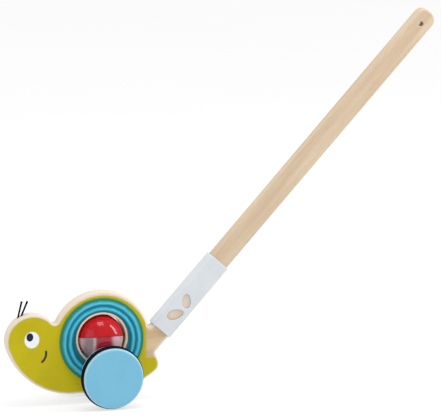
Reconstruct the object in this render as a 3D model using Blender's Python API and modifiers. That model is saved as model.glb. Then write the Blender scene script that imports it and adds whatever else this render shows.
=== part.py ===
"""A wooden push-along snail toy: a board on two wheels, a clear-and-red ball in its shell, a push stick.

Metres, +Z up. The snail stands in the XZ plane with its head towards -X, and its near face looks along -Y.
"""

from math import acos, asin, atan2, cos, pi, radians, sin, sqrt, tan

import bmesh
import bpy
from mathutils import Matrix, Vector

GAP = 0.0003  # left between pieces that touch
WELD = 0.00001  # points nearer than this are one point
AXIS_MERGE = 0.000001  # and these, where a turned section closes on itself
ARC_STEP = radians(7.5)
SHARP_ANGLE = radians(35)

# Board body, measured in its own plane from the centre of the shell
BOARD_THICKNESS = 0.0140
BOARD_EDGE_ROUNDING = 0.0030
SHELL_RADIUS = 0.0575
HEAD_RADIUS = 0.0310
HEAD_FROM_SHELL = 0.0246
HEAD_DIRECTION = radians(176.86)
VALLEY_FILLET = 0.0040
BELLY_BELOW_SHELL = 0.0040
BELLY_FRONT_RADIUS = 0.0820
BELLY_REAR_RADIUS = 0.0990
TAIL_RADIUS = 0.0115
TAIL_FROM_SHELL = 0.0081
TAIL_DIRECTION = radians(-28.7)
NECK_ROOT = 0.0300
NECK_FILLET = 0.0030
TENON_END_FILLET = 0.0035

# Ball window, which sits a little above the shell's centre, and the turned rings round the shell
HOLE_RADIUS = 0.0280
WINDOW_RISE = 0.0026
CHAMFER_WIDTH = 0.0026
CHAMFER_DEPTH = 0.0008
RING_FROM_SHELL_EDGE = 0.0075
RING_LAND = 0.0016
RING_RIDGE_HEIGHT = 0.0014
RING_OUTER_LAND = 0.0026
RING_RIDGE_WIDTHS = (0.0070, 0.0067)
RIDGE_STEPS = 4

# Ball
BALL_CLEARANCE = 0.0010
BALL_WALL = 0.0020
BALL_TURN = radians(12)
BALL_ARC_STEPS = 8
PIN_RADIUS = 0.0015
PIN_CLEARANCE = 0.0003
PIN_REACH = 0.0050
BEAD_RADIUS = 0.0026
BEAD_COUNT = 5

# Wheels and axle
AXLE_X = 0.0041
AXLE_WEB = 0.0060
AXLE_RADIUS = 0.0030
AXLE_CLEARANCE = 0.0003
BUSH_WALL = 0.0018
BUSH_FLANGE_WIDTH = 0.0016
BUSH_FLANGE_THICKNESS = 0.0010
SPACER_WALL = 0.0025
WHEEL_RADIUS = 0.0353
WHEEL_THICKNESS = 0.0180
WHEEL_EDGE_ROUNDING = 0.0030
WHEEL_EDGE_STEPS = 3
WHEEL_BALL_CLEARANCE = 0.0027
WHEEL_BORE_DEPTH = 0.0120
TYRE_HALF_HEIGHT = 0.0023
TYRE_HALF_WIDTH = 0.0055
TYRE_STAND_OUT = 0.0017
TYRE_STEPS = 8
GROOVE_STEPS = 6

# Push stick and the sleeve that joins it to the body
STICK_ANGLE = radians(47.7)
STICK_OFFSET = 0.0479
STICK_WIDTH = 0.0242
STICK_EDGE_ROUNDING = 0.0020
STICK_END = 0.5333
STICK_END_ROUNDING = 0.0100
STICK_IN_SLEEVE = 0.0440
HANG_HOLE_RADIUS = 0.0028
HANG_HOLE_FROM_END = 0.0173
SLEEVE_FROM_NECK = 0.0021
SLEEVE_LENGTH = 0.1040
SLEEVE_WALL = 0.0015
SLEEVE_CORNER = 0.0025
SLEEVE_FIT = 0.0003
# Each window: centre along the sleeve, length, width, turn from the sleeve's own direction
LEAF_WINDOWS = ((0.0246, 0.0202, 0.0132, radians(-35.6)), (0.0446, 0.0171, 0.0116, radians(42.2)))
LEAF_POINTS = 14
LEAF_TAPER = 0.22

# Screws from the sleeve's underside
SCREW_RADIUS = 0.0015
SCREW_HEAD_RADIUS = 0.0029
SCREW_HEAD_RIM = 0.0003
SCREW_LENGTH = 0.0130
SCREW_FROM_JOINT = 0.0160
SCREW_SLOT = 0.0006
SCREW_SUNK = 0.0001

# Feelers
FEELER_RADIUS = 0.0010
FEELER_TIP_RADIUS = 0.0008
FEELER_EMBEDDED = 0.0080
# Each feeler: where it enters the head, its own direction, its length outside
FEELERS = ((radians(119.7), radians(76.5), 0.0197), (radians(111.4), radians(66.6), 0.0186))

# Sides of the turned pieces
LARGE_ROUND = 48
WINDOW_ROUND = 40
BALL_ROUND = 32
AXLE_ROUND = 20
SCREW_ROUND = 16
PIN_ROUND = 12
FEELER_ROUND = 10

# Values that follow
HEAD = Vector((cos(HEAD_DIRECTION), sin(HEAD_DIRECTION))) * (SHELL_RADIUS + HEAD_FROM_SHELL)
TAIL = Vector((cos(TAIL_DIRECTION), sin(TAIL_DIRECTION))) * (SHELL_RADIUS + TAIL_FROM_SHELL)
BELLY_LEVEL = -(SHELL_RADIUS + BELLY_BELOW_SHELL)
HALF_BOARD = BOARD_THICKNESS / 2
RING_FOOT = HALF_BOARD + GAP
RING_TOP = RING_FOOT + RING_LAND + RING_RIDGE_HEIGHT
RING_OUTER_RADIUS = SHELL_RADIUS - RING_FROM_SHELL_EDGE
RING_INNER_RADIUS = HOLE_RADIUS - 2 * WINDOW_RISE
BALL_RADIUS = HOLE_RADIUS - BALL_CLEARANCE
WHEEL_INNER = BALL_RADIUS + WHEEL_BALL_CLEARANCE
WHEEL_OUTER = WHEEL_INNER + WHEEL_THICKNESS
TYRE_RING_RADIUS = WHEEL_RADIUS + TYRE_STAND_OUT - TYRE_HALF_HEIGHT
ROLLING_RADIUS = WHEEL_RADIUS + TYRE_STAND_OUT
BUSH_RADIUS = AXLE_RADIUS + AXLE_CLEARANCE + BUSH_WALL
BUSH_END = RING_TOP + GAP
BUSH_FLANGE_END = BUSH_END + BUSH_FLANGE_THICKNESS
AXLE_DROP = HOLE_RADIUS - WINDOW_RISE + AXLE_WEB + BUSH_RADIUS + GAP
SHELL_HEIGHT = ROLLING_RADIUS + AXLE_DROP
NECK_FILLET_ACROSS = STICK_WIDTH / 2 + NECK_FILLET
NECK_FILLET_ALONG = sqrt((SHELL_RADIUS + NECK_FILLET) ** 2 - (STICK_OFFSET - NECK_FILLET_ACROSS) ** 2)
SLEEVE_CAVITY_WIDTH = STICK_WIDTH + 2 * SLEEVE_FIT
SLEEVE_CAVITY_DEPTH = BOARD_THICKNESS + 2 * SLEEVE_FIT
SLEEVE_WIDTH = SLEEVE_CAVITY_WIDTH + 2 * SLEEVE_WALL
SLEEVE_DEPTH = SLEEVE_CAVITY_DEPTH + 2 * SLEEVE_WALL
SLEEVE_START = NECK_FILLET_ALONG + SLEEVE_FROM_NECK
SLEEVE_END = SLEEVE_START + SLEEVE_LENGTH
STICK_START = SLEEVE_END - STICK_IN_SLEEVE
TENON_END = STICK_START - GAP
SCREW_PLACES = {"lower": TENON_END - SCREW_FROM_JOINT, "upper": STICK_START + SCREW_FROM_JOINT}
ALONG = Vector((cos(STICK_ANGLE), sin(STICK_ANGLE)))
ACROSS = Vector((-sin(STICK_ANGLE), cos(STICK_ANGLE)))
STICK_TIP_X = ((ALONG * (STICK_END - STICK_END_ROUNDING) - ACROSS * STICK_OFFSET).x
               - (STICK_WIDTH / 2 - STICK_END_ROUNDING) * ACROSS.x + STICK_END_ROUNDING)
SHELL = Vector(((HEAD_RADIUS - HEAD.x - STICK_TIP_X) / 2, 0.0, SHELL_HEIGHT))
WINDOW = SHELL + Vector((0.0, 0.0, WINDOW_RISE))
FACING_NEAR = (pi / 2, 0.0, 0.0)
FACING_FAR = (-pi / 2, 0.0, 0.0)
UPRIGHT = (0.0, 0.0, 0.0)

COLOURS = {
    "olive_paint": ((0.49, 0.41, 0.01, 1), 0.45, 0.0),
    "teal_paint": ((0.02, 0.26, 0.34, 1), 0.35, 0.0),
    "blue_paint": ((0.21, 0.53, 0.73, 1), 0.35, 0.0),
    "beech": ((0.70, 0.56, 0.41, 1), 0.60, 0.0),
    "white_plastic": ((0.70, 0.73, 0.76, 1), 0.35, 0.0),
    "red_plastic": ((0.60, 0.01, 0.03, 1), 0.15, 0.0),
    "clear_plastic": ((0.85, 0.80, 0.80, 1), 0.05, 0.0),
    "black_rubber": ((0.01, 0.012, 0.016, 1), 0.60, 0.0),
    "black_cord": ((0.01, 0.01, 0.012, 1), 0.70, 0.0),
    "steel": ((0.55, 0.55, 0.56, 1), 0.30, 1.0),
    "nylon": ((0.75, 0.74, 0.70, 1), 0.50, 0.0),
    "bead_plastic": ((0.90, 0.60, 0.05, 1), 0.30, 0.0),
}


def clear_scene():
    """Remove every object that the file starts with."""
    for obj in list(bpy.data.objects):
        bpy.data.objects.remove(obj, do_unlink=True)


def new_collection(name):
    """Add a collection to the scene."""
    collection = bpy.data.collections.new(name)
    bpy.context.scene.collection.children.link(collection)
    return collection


def material(name):
    """The named material, made once."""
    found = bpy.data.materials.get(name)
    if found:
        return found
    colour, roughness, metallic = COLOURS[name]
    made = bpy.data.materials.new(name)
    made.use_nodes = True
    shader = made.node_tree.nodes["Principled BSDF"]
    shader.inputs["Base Color"].default_value = colour
    shader.inputs["Roughness"].default_value = roughness
    shader.inputs["Metallic"].default_value = metallic
    made.diffuse_color = colour
    return made


class Builder:
    """Adds sub-parts to one collection and their cutters to another."""

    def __init__(self):
        self.parts = new_collection("push_along_snail")
        self.cutters = new_collection("cutters")

    def add(self, name, mesh, colour, at=SHELL, turn=UPRIGHT):
        """Place a mesh as a sub-part."""
        obj = bpy.data.objects.new(name, mesh)
        self.parts.objects.link(obj)
        mesh.materials.append(material(colour))
        obj.location = at
        obj.rotation_euler = turn
        mesh.shade_smooth()
        mesh.set_sharp_from_angle(angle=SHARP_ANGLE)
        return obj

    def cut(self, target, mesh, at=SHELL, turn=UPRIGHT):
        """Take a mesh out of a sub-part with a Boolean."""
        cutter = bpy.data.objects.new(f"{target.name}_cut_{len(target.modifiers)}", mesh)
        self.cutters.objects.link(cutter)
        cutter.location = at
        cutter.rotation_euler = turn
        cutter.hide_render = True
        cutter.display_type = "WIRE"
        boolean = target.modifiers.new("cut", "BOOLEAN")
        boolean.operation = "DIFFERENCE"
        boolean.solver = "EXACT"
        boolean.object = cutter


def arc(centre, radius, start, end, steps=None):
    """Points on a circular arc from one angle to another, both ends included."""
    if steps is None:
        steps = max(2, round(abs(end - start) / ARC_STEP))
    angles = [start + (end - start) * i / steps for i in range(steps + 1)]
    return [Vector((centre[0] + radius * cos(a), centre[1] + radius * sin(a))) for a in angles]


def rounded(points, radii):
    """A closed outline with each corner replaced by an arc of its own radius."""
    outline = []
    count = len(points)
    for i, (corner, radius) in enumerate(zip(points, radii)):
        if radius == 0:
            outline.append(Vector(corner))
            continue
        before = (Vector(points[i - 1]) - Vector(corner)).normalized()
        after = (Vector(points[(i + 1) % count]) - Vector(corner)).normalized()
        half = acos(before.dot(after)) / 2
        middle = Vector(corner) + (before + after).normalized() * radius / sin(half)
        first = Vector(corner) + before * radius / tan(half)
        last = Vector(corner) + after * radius / tan(half)
        start = atan2(first.y - middle.y, first.x - middle.x)
        turn = atan2(last.y - middle.y, last.x - middle.x) - start
        turn = (turn + pi) % (2 * pi) - pi
        outline += arc(middle, radius, start, start + turn)
    return outline


def flat_mesh(name, outlines, thickness, rounding=0.0):
    """A flat piece of an outline, the first outline outside and any others holes, with rounded edges."""
    curve = bpy.data.curves.new(name, "CURVE")
    curve.dimensions = "2D"
    curve.fill_mode = "BOTH"
    curve.extrude = thickness / 2 - rounding
    curve.bevel_depth = rounding
    curve.bevel_resolution = 1
    curve.offset = -rounding
    for outline in outlines:
        spline = curve.splines.new("POLY")
        spline.points.add(len(outline) - 1)
        for point, place in zip(spline.points, outline):
            point.co = (place[0], place[1], 0.0, 1.0)
        spline.use_cyclic_u = True
    holder = bpy.data.objects.new(name, curve)
    bpy.context.scene.collection.objects.link(holder)
    graph = bpy.context.evaluated_depsgraph_get()
    mesh = bpy.data.meshes.new_from_object(holder.evaluated_get(graph))
    bpy.data.objects.remove(holder, do_unlink=True)
    weld(mesh)
    mesh.name = name
    return mesh


def weld(mesh):
    """Join the caps of a converted curve to its sides."""
    shape = bmesh.new()
    shape.from_mesh(mesh)
    bmesh.ops.remove_doubles(shape, verts=shape.verts, dist=WELD)
    bmesh.ops.recalc_face_normals(shape, faces=shape.faces)
    shape.to_mesh(mesh)
    shape.free()


def turned_mesh(name, profile, steps, closed=True):
    """Turn a profile of (radius, height) points about the local Z axis with a Screw modifier."""
    mesh = bpy.data.meshes.new(name)
    edges = [(i, i + 1) for i in range(len(profile) - 1)]
    if closed:
        edges.append((len(profile) - 1, 0))
    mesh.from_pydata([(r, 0.0, h) for r, h in profile], edges, [])
    holder = bpy.data.objects.new(name, mesh)
    bpy.context.scene.collection.objects.link(holder)
    screw = holder.modifiers.new("turn", "SCREW")
    screw.axis = "Z"
    screw.angle = 2 * pi
    screw.steps = steps
    screw.render_steps = steps
    screw.use_merge_vertices = True
    screw.merge_threshold = AXIS_MERGE
    graph = bpy.context.evaluated_depsgraph_get()
    made = bpy.data.meshes.new_from_object(holder.evaluated_get(graph))
    bpy.data.objects.remove(holder, do_unlink=True)
    made.name = name
    return made


def rod_mesh(name, radius, length, sides, axis="Z"):
    """A round rod centred on the origin along one axis."""
    shape = bmesh.new()
    bmesh.ops.create_cone(
        shape, cap_ends=True, segments=sides, depth=length, radius1=radius, radius2=radius
    )
    if axis == "X":
        bmesh.ops.rotate(shape, verts=shape.verts, matrix=Matrix.Rotation(pi / 2, 3, "Y"))
    mesh = bpy.data.meshes.new(name)
    shape.to_mesh(mesh)
    shape.free()
    return mesh


def box_mesh(name, size, centre=(0.0, 0.0, 0.0)):
    """A box of a size about a centre."""
    shape = bmesh.new()
    bmesh.ops.create_cube(shape, size=1.0)
    bmesh.ops.scale(shape, vec=size, verts=shape.verts)
    bmesh.ops.translate(shape, vec=centre, verts=shape.verts)
    mesh = bpy.data.meshes.new(name)
    shape.to_mesh(mesh)
    shape.free()
    return mesh


def on_axis(along, across=0.0):
    """A point of the board's plane given along the stick's axis and across it."""
    return ALONG * along + ACROSS * (across - STICK_OFFSET)


def in_world(point, depth=0.0):
    """A point of the board's plane as a place in the scene."""
    return SHELL + Vector((point[0], depth, point[1]))


def stick_turn():
    """The rotation that lays a piece's local X along the stick and its local Z towards the near side."""
    return (pi / 2, -STICK_ANGLE, 0.0)


def circle_crossing(first, first_radius, second, second_radius, side):
    """Where two circles cross, on one side of the line between their centres."""
    between = Vector(second) - Vector(first)
    distance = between.length
    foot = (first_radius**2 - second_radius**2 + distance**2) / (2 * distance)
    height = sqrt(first_radius**2 - foot**2)
    unit = between / distance
    return Vector(first) + unit * foot + Vector((-unit.y, unit.x)) * height * side


def angle_to(centre, point):
    """The direction from a centre to a point, from 0 to a full turn."""
    return atan2(point[1] - centre[1], point[0] - centre[0]) % (2 * pi)


def belly_centre(radius, end, end_radius, way):
    """The centre of a belly arc that rests on the belly's level and holds a smaller circle inside it."""
    height = BELLY_LEVEL + radius
    reach = sqrt((radius - end_radius) ** 2 - (height - end.y) ** 2)
    return Vector((end.x + way * reach, height))


def tenon_outline(start):
    """The neck's lower side from the tail, the tenon in the sleeve, and the fillet against the shell."""
    half = STICK_WIDTH / 2
    corners = [start, on_axis(NECK_ROOT, -half), on_axis(TENON_END, -half), on_axis(TENON_END, half),
               on_axis(NECK_FILLET_ALONG, half)]
    outline = rounded(corners, [0, NECK_FILLET, TENON_END_FILLET, TENON_END_FILLET, 0])[1:-1]
    fillet = on_axis(NECK_FILLET_ALONG, NECK_FILLET_ACROSS)
    return outline + arc(fillet, NECK_FILLET, STICK_ANGLE + 1.5 * pi, angle_to(fillet, (0, 0)))[:-1]


def board_outline():
    """The snail's outline with its tenon, anticlockwise from the belly's front."""
    front = belly_centre(BELLY_FRONT_RADIUS, HEAD, HEAD_RADIUS, 1)
    rear = belly_centre(BELLY_REAR_RADIUS, TAIL, TAIL_RADIUS, -1)
    outline = arc(front, BELLY_FRONT_RADIUS, angle_to(front, HEAD), 1.5 * pi)
    outline += arc(rear, BELLY_REAR_RADIUS, 1.5 * pi, angle_to(rear, TAIL))

    corner = on_axis(NECK_ROOT, -STICK_WIDTH / 2)
    tangent = angle_to(TAIL, corner) - acos(TAIL_RADIUS / (corner - TAIL).length)
    outline += arc(TAIL, TAIL_RADIUS, angle_to(rear, TAIL) - 2 * pi, tangent)[1:]
    outline += tenon_outline(outline[-1])

    neck = on_axis(NECK_FILLET_ALONG, NECK_FILLET_ACROSS)
    valley = circle_crossing((0, 0), SHELL_RADIUS + VALLEY_FILLET, HEAD, HEAD_RADIUS + VALLEY_FILLET, -1)
    outline += arc((0, 0), SHELL_RADIUS, angle_to((0, 0), neck), angle_to((0, 0), valley))
    outline += arc(valley, VALLEY_FILLET, angle_to(valley, (0, 0)), angle_to(valley, HEAD))[1:-1]
    outline += arc(HEAD, HEAD_RADIUS, angle_to(HEAD, valley), angle_to(front, HEAD))[:-1]
    return outline


def axle_place():
    """The middle of the wheels' axis."""
    return SHELL + Vector((AXLE_X, 0.0, -AXLE_DROP))


def make_board(build):
    """The snail-shaped board with its ball window, axle hole, pin slots and feeler holes."""
    board = build.add(
        "body_board",
        flat_mesh("body_board", [board_outline()], BOARD_THICKNESS, BOARD_EDGE_ROUNDING),
        "olive_paint", turn=FACING_NEAR,
    )
    through = 2 * BOARD_THICKNESS
    build.cut(board, rod_mesh("window", HOLE_RADIUS, through, WINDOW_ROUND), WINDOW, FACING_NEAR)
    build.cut(board, rod_mesh("bush_hole", BUSH_RADIUS + GAP, through, AXLE_ROUND), axle_place(), FACING_NEAR)
    slot_half = PIN_RADIUS + GAP
    slot_length = 2 * (HOLE_RADIUS + PIN_REACH + GAP)
    slot_depth = HALF_BOARD + slot_half + GAP
    slot = box_mesh("pin_slot", (slot_length, 2 * slot_half, slot_depth), (0, 0, slot_depth / 2 - slot_half))
    build.cut(board, slot, WINDOW, FACING_NEAR)
    for entry, direction, _ in FEELERS:
        hole = rod_mesh("feeler_hole", FEELER_RADIUS + GAP, 2 * (FEELER_EMBEDDED + GAP), FEELER_ROUND)
        build.cut(board, hole, feeler_entry(entry), feeler_turn(direction))
    cut_screw_hole(build, board, SCREW_PLACES["lower"])


def ring_profile():
    """The ring's section: flat land and round ridges between grooves, counted in from the outer land."""
    groove = RING_OUTER_RADIUS - RING_OUTER_LAND - sum(RING_RIDGE_WIDTHS)
    profile = [
        (RING_OUTER_RADIUS, RING_LAND), (RING_OUTER_RADIUS, 0.0),
        (RING_INNER_RADIUS, 0.0), (RING_INNER_RADIUS, RING_LAND), (groove, RING_LAND),
    ]
    for width in RING_RIDGE_WIDTHS:
        for step in range(1, RIDGE_STEPS + 1):
            rise = RING_RIDGE_HEIGHT * sin(pi * step / RIDGE_STEPS)
            profile.append((groove + width * step / RIDGE_STEPS, RING_LAND + rise))
        groove += width
    return profile


def make_shell_ring(build, name, turn, facing):
    """One turned ring, cut by the ball window with its chamfer and by the bush's hole."""
    ring = build.add(name, turned_mesh(name, ring_profile(), LARGE_ROUND), "teal_paint",
                     SHELL + Vector((0.0, facing * RING_FOOT, 0.0)), turn)
    reach = 2 * RING_TOP
    wide = HOLE_RADIUS + CHAMFER_WIDTH
    start = RING_FOOT + RING_LAND - CHAMFER_DEPTH
    window = [(0.0, reach), (wide, reach), (wide, RING_FOOT + RING_LAND), (HOLE_RADIUS, start),
              (HOLE_RADIUS, 0.0), (0.0, 0.0)]
    build.cut(ring, turned_mesh("window_chamfer", window, WINDOW_ROUND, closed=False), WINDOW, turn)
    build.cut(ring, rod_mesh("axle_hole", BUSH_RADIUS + GAP, 2 * reach, AXLE_ROUND), axle_place(), FACING_NEAR)


def make_ball(build):
    """The ball's red upper cap and clear lower cap, turned a little on the pin that they meet along."""
    inner = BALL_RADIUS - BALL_WALL
    seam = GAP / 2
    outside = arc((0, 0), BALL_RADIUS, pi / 2, asin(seam / BALL_RADIUS), BALL_ARC_STEPS)
    inside = arc((0, 0), inner, asin(seam / inner), pi / 2, BALL_ARC_STEPS)
    profile = [(0.0, BALL_RADIUS)] + [tuple(p) for p in outside[1:] + inside[:-1]] + [(0.0, inner)]
    for name, colour, flip in (("ball_upper_cap", "red_plastic", 0.0), ("ball_lower_cap", "clear_plastic", pi)):
        mesh = turned_mesh(name, profile, BALL_ROUND, closed=False)
        cap = build.add(name, mesh, colour, WINDOW, (flip - BALL_TURN, 0.0, 0.0))
        bore = rod_mesh("pin_bore", PIN_RADIUS + PIN_CLEARANCE, 2 * HOLE_RADIUS, PIN_ROUND, "X")
        build.cut(cap, bore, WINDOW)


def make_pin(build):
    """The pin through the ball, its ends held in the board's slots under the rings."""
    mesh = rod_mesh("ball_pin", PIN_RADIUS, 2 * (HOLE_RADIUS + PIN_REACH), PIN_ROUND, "X")
    build.add("ball_pin", mesh, "steel", WINDOW)


def make_beads(build):
    """Loose beads resting in the bottom of the ball: one in the middle and the rest in a ring round it."""
    rest = BALL_RADIUS - BALL_WALL - BEAD_RADIUS - GAP
    ring = BEAD_COUNT - 1
    touch = (BEAD_RADIUS + GAP) / rest
    tilt = max(asin(touch / sin(pi / ring)), 2 * asin(touch))
    places = [Vector((0.0, 0.0, -1.0))]
    for i in range(ring):
        swing = 2 * pi * i / ring
        places.append(Vector((sin(tilt) * cos(swing), sin(tilt) * sin(swing), -cos(tilt))))
    for number, place in enumerate(places, 1):
        shape = bmesh.new()
        bmesh.ops.create_icosphere(shape, subdivisions=2, radius=BEAD_RADIUS)
        mesh = bpy.data.meshes.new(f"bead_{number}")
        shape.to_mesh(mesh)
        shape.free()
        build.add(f"bead_{number}", mesh, "bead_plastic", WINDOW + place * rest)


def make_bush(build, side, turn):
    """The flanged bush that carries the axle on one side of the board."""
    bore = AXLE_RADIUS + AXLE_CLEARANCE
    flange = BUSH_RADIUS + BUSH_FLANGE_WIDTH
    profile = [
        (bore, BUSH_FLANGE_END), (flange, BUSH_FLANGE_END), (flange, BUSH_END),
        (BUSH_RADIUS, BUSH_END), (BUSH_RADIUS, GAP / 2), (bore, GAP / 2),
    ]
    bush = turned_mesh("axle_bush", profile, AXLE_ROUND)
    build.add(f"axle_bush_{side}", bush, "nylon", axle_place(), turn)


def make_spacer(build, side, turn):
    """The tube that keeps one wheel off its bush."""
    bore = AXLE_RADIUS + AXLE_CLEARANCE
    start = BUSH_FLANGE_END + GAP
    stop = WHEEL_INNER - GAP
    profile = [(bore, stop), (bore + SPACER_WALL, stop), (bore + SPACER_WALL, start), (bore, start)]
    spacer = turned_mesh("axle_spacer", profile, AXLE_ROUND)
    build.add(f"axle_spacer_{side}", spacer, "nylon", axle_place(), turn)


def widened(points, middle, stretch):
    """Points spread along the axle about a middle height."""
    return [(p[0], middle + (p[1] - middle) * stretch) for p in points]


def make_wheel(build, side, turn):
    """One wheel with a blind bore and an oval groove for its rubber ring, and the ring."""
    middle = (WHEEL_INNER + WHEEL_OUTER) / 2
    corner = WHEEL_RADIUS - WHEEL_EDGE_ROUNDING
    centre = (TYRE_RING_RADIUS, middle)
    groove = TYRE_HALF_HEIGHT + GAP
    opening = acos((WHEEL_RADIUS - TYRE_RING_RADIUS) / groove)
    outer_edge = arc((corner, WHEEL_OUTER - WHEEL_EDGE_ROUNDING), WHEEL_EDGE_ROUNDING, pi / 2, 0.0,
                     WHEEL_EDGE_STEPS)
    inner_edge = arc((corner, WHEEL_INNER + WHEEL_EDGE_ROUNDING), WHEEL_EDGE_ROUNDING, 0.0, -pi / 2,
                     WHEEL_EDGE_STEPS)
    groove_arc = arc(centre, groove, opening, 2 * pi - opening, GROOVE_STEPS)
    bore = AXLE_RADIUS + GAP
    bore_end = WHEEL_INNER + WHEEL_BORE_DEPTH
    profile = [(0.0, WHEEL_OUTER)] + [tuple(p) for p in outer_edge]
    profile += widened(groove_arc, middle, (TYRE_HALF_WIDTH + GAP) / groove)
    profile += [tuple(p) for p in inner_edge] + [(bore, WHEEL_INNER), (bore, bore_end), (0.0, bore_end)]
    wheel = turned_mesh(f"wheel_{side}", profile, LARGE_ROUND, closed=False)
    build.add(f"wheel_{side}", wheel, "blue_paint", axle_place(), turn)
    section = arc(centre, TYRE_HALF_HEIGHT, 2 * pi, 0.0, TYRE_STEPS)[:-1]
    oval = widened(section, middle, TYRE_HALF_WIDTH / TYRE_HALF_HEIGHT)
    tyre = turned_mesh(f"tyre_{side}", oval, LARGE_ROUND)
    build.add(f"tyre_{side}", tyre, "black_rubber", axle_place(), turn)


def make_wheel_set(build):
    """The steel axle, and on each side its bush, spacer and wheel."""
    end = WHEEL_INNER + WHEEL_BORE_DEPTH - GAP
    build.add("axle", rod_mesh("axle", AXLE_RADIUS, 2 * end, AXLE_ROUND), "steel", axle_place(), FACING_NEAR)
    for side, turn in (("near", FACING_NEAR), ("far", FACING_FAR)):
        make_bush(build, side, turn)
        make_spacer(build, side, turn)
        make_wheel(build, side, turn)


def make_stick(build):
    """The push stick with a hanging hole near its rounded end."""
    half = STICK_WIDTH / 2
    outline = rounded(
        [(STICK_START, -half), (STICK_END, -half), (STICK_END, half), (STICK_START, half)],
        [STICK_EDGE_ROUNDING, STICK_END_ROUNDING, STICK_END_ROUNDING, STICK_EDGE_ROUNDING],
    )
    middle = in_world(on_axis(0.0))
    stick = build.add(
        "push_stick", flat_mesh("push_stick", [outline], BOARD_THICKNESS, STICK_EDGE_ROUNDING),
        "beech", middle, stick_turn(),
    )
    hole_place = in_world(on_axis(STICK_END - HANG_HOLE_FROM_END))
    hang_hole = rod_mesh("hang_hole", HANG_HOLE_RADIUS, 2 * BOARD_THICKNESS, SCREW_ROUND)
    build.cut(stick, hang_hole, hole_place, FACING_NEAR)
    cut_screw_hole(build, stick, SCREW_PLACES["upper"])


def rounded_box_outline(width, depth, corner):
    """A rectangle across the sleeve with rounded corners."""
    half_width = width / 2
    half_depth = depth / 2
    corners = [(-half_width, -half_depth), (half_width, -half_depth),
               (half_width, half_depth), (-half_width, half_depth)]
    return rounded(corners, [corner] * 4)


def leaf_outline(length, width):
    """A leaf: widest below its middle, with a blunt stalk end and a pointed tip."""
    upper = []
    for i in range(LEAF_POINTS + 1):
        turn = pi * i / LEAF_POINTS
        reach = -cos(turn) * length / 2
        swell = sin(turn) * (1.0 - LEAF_TAPER * (1.0 - cos(turn)) / 2)
        upper.append(Vector((reach, swell * width / 2)))
    lower = [Vector((p.x, -p.y)) for p in upper[-2:0:-1]]
    return (upper + lower)[::-1]


def make_sleeve(build):
    """The rectangular sleeve over the tenon and the stick, with two leaf windows in its near wall."""
    outside = rounded_box_outline(SLEEVE_WIDTH, SLEEVE_DEPTH, SLEEVE_CORNER)
    inside = rounded_box_outline(SLEEVE_CAVITY_WIDTH, SLEEVE_CAVITY_DEPTH, SLEEVE_CORNER - SLEEVE_WALL)
    mesh = flat_mesh("handle_sleeve", [outside, inside], SLEEVE_LENGTH)
    centre = in_world(on_axis(SLEEVE_START + SLEEVE_LENGTH / 2))
    across = Matrix(((0, 0, 1), (1, 0, 0), (0, 1, 0)))
    mesh.transform(across.to_4x4())
    sleeve = build.add("handle_sleeve", mesh, "white_plastic", centre, stick_turn())
    for along, length, width, turn in LEAF_WINDOWS:
        leaf = flat_mesh("leaf", [leaf_outline(length, width)], SLEEVE_DEPTH / 2)
        leaf.transform(Matrix.Rotation(turn, 4, "Z"))
        place = in_world(on_axis(SLEEVE_START + along), -SLEEVE_DEPTH / 2)
        build.cut(sleeve, leaf, place, stick_turn())
    for along in SCREW_PLACES.values():
        cut_screw_hole(build, sleeve, along, head=True)


def screw_place(along):
    """The middle of a screw's head on the sleeve's underside."""
    return in_world(on_axis(along, -SLEEVE_WIDTH / 2))


def screw_turn():
    """The rotation that points a screw's local Z out of the sleeve's underside."""
    return (0.0, pi - STICK_ANGLE, 0.0)


def screw_profile(extra, top, foot, head):
    """Half a screw's section along local Z: its head from the top, if it has one, its shank and its foot."""
    neck = SCREW_RADIUS + extra
    rim = SCREW_HEAD_RADIUS + extra
    shoulder = [(rim, top), (rim, -SCREW_HEAD_RIM), (neck, -SLEEVE_WALL)] if head else [(neck, top)]
    return [(0.0, top)] + shoulder + [(neck, foot), (0.0, foot)]


def cut_screw_hole(build, target, along, head=False):
    """The hole for one screw."""
    profile = screw_profile(GAP, GAP, -SCREW_LENGTH - GAP, head)
    mesh = turned_mesh("screw_space", profile, SCREW_ROUND, closed=False)
    build.cut(target, mesh, screw_place(along), screw_turn())


def make_screws(build):
    """One countersunk screw into the tenon and one into the stick."""
    for place, along in SCREW_PLACES.items():
        name = f"sleeve_screw_{place}"
        profile = screw_profile(0.0, -SCREW_SUNK, -SCREW_LENGTH, head=True)
        mesh = turned_mesh(name, profile, SCREW_ROUND, closed=False)
        screw = build.add(name, mesh, "steel", screw_place(along), screw_turn())
        slot = box_mesh("slot", (2 * (SCREW_HEAD_RADIUS + GAP), SCREW_SLOT, SCREW_SLOT))
        build.cut(screw, slot, screw_place(along), screw_turn())


def feeler_entry(entry):
    """Where a feeler enters the head, in the scene."""
    return in_world(HEAD + Vector((cos(entry), sin(entry))) * HEAD_RADIUS)


def feeler_turn(direction):
    """The rotation that points a piece's local Z along a feeler."""
    return (0.0, pi / 2 - direction, 0.0)


def make_feelers(build):
    """Two thin stiff stalks set into the top of the head."""
    for name, (entry, direction, length) in zip(("feeler_left", "feeler_right"), FEELERS):
        profile = [
            (0.0, length), (FEELER_TIP_RADIUS, length), (FEELER_RADIUS, length - FEELER_RADIUS),
            (FEELER_RADIUS, -FEELER_EMBEDDED), (0.0, -FEELER_EMBEDDED),
        ]
        mesh = turned_mesh(name, profile, FEELER_ROUND, closed=False)
        build.add(name, mesh, "black_cord", feeler_entry(entry), feeler_turn(direction))


def main():
    """Build the whole toy."""
    clear_scene()
    build = Builder()
    make_board(build)
    make_shell_ring(build, "shell_ring_near", FACING_NEAR, -1)
    make_shell_ring(build, "shell_ring_far", FACING_FAR, 1)
    make_ball(build)
    make_pin(build)
    make_beads(build)
    make_wheel_set(build)
    make_stick(build)
    make_sleeve(build)
    make_screws(build)
    make_feelers(build)


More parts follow.
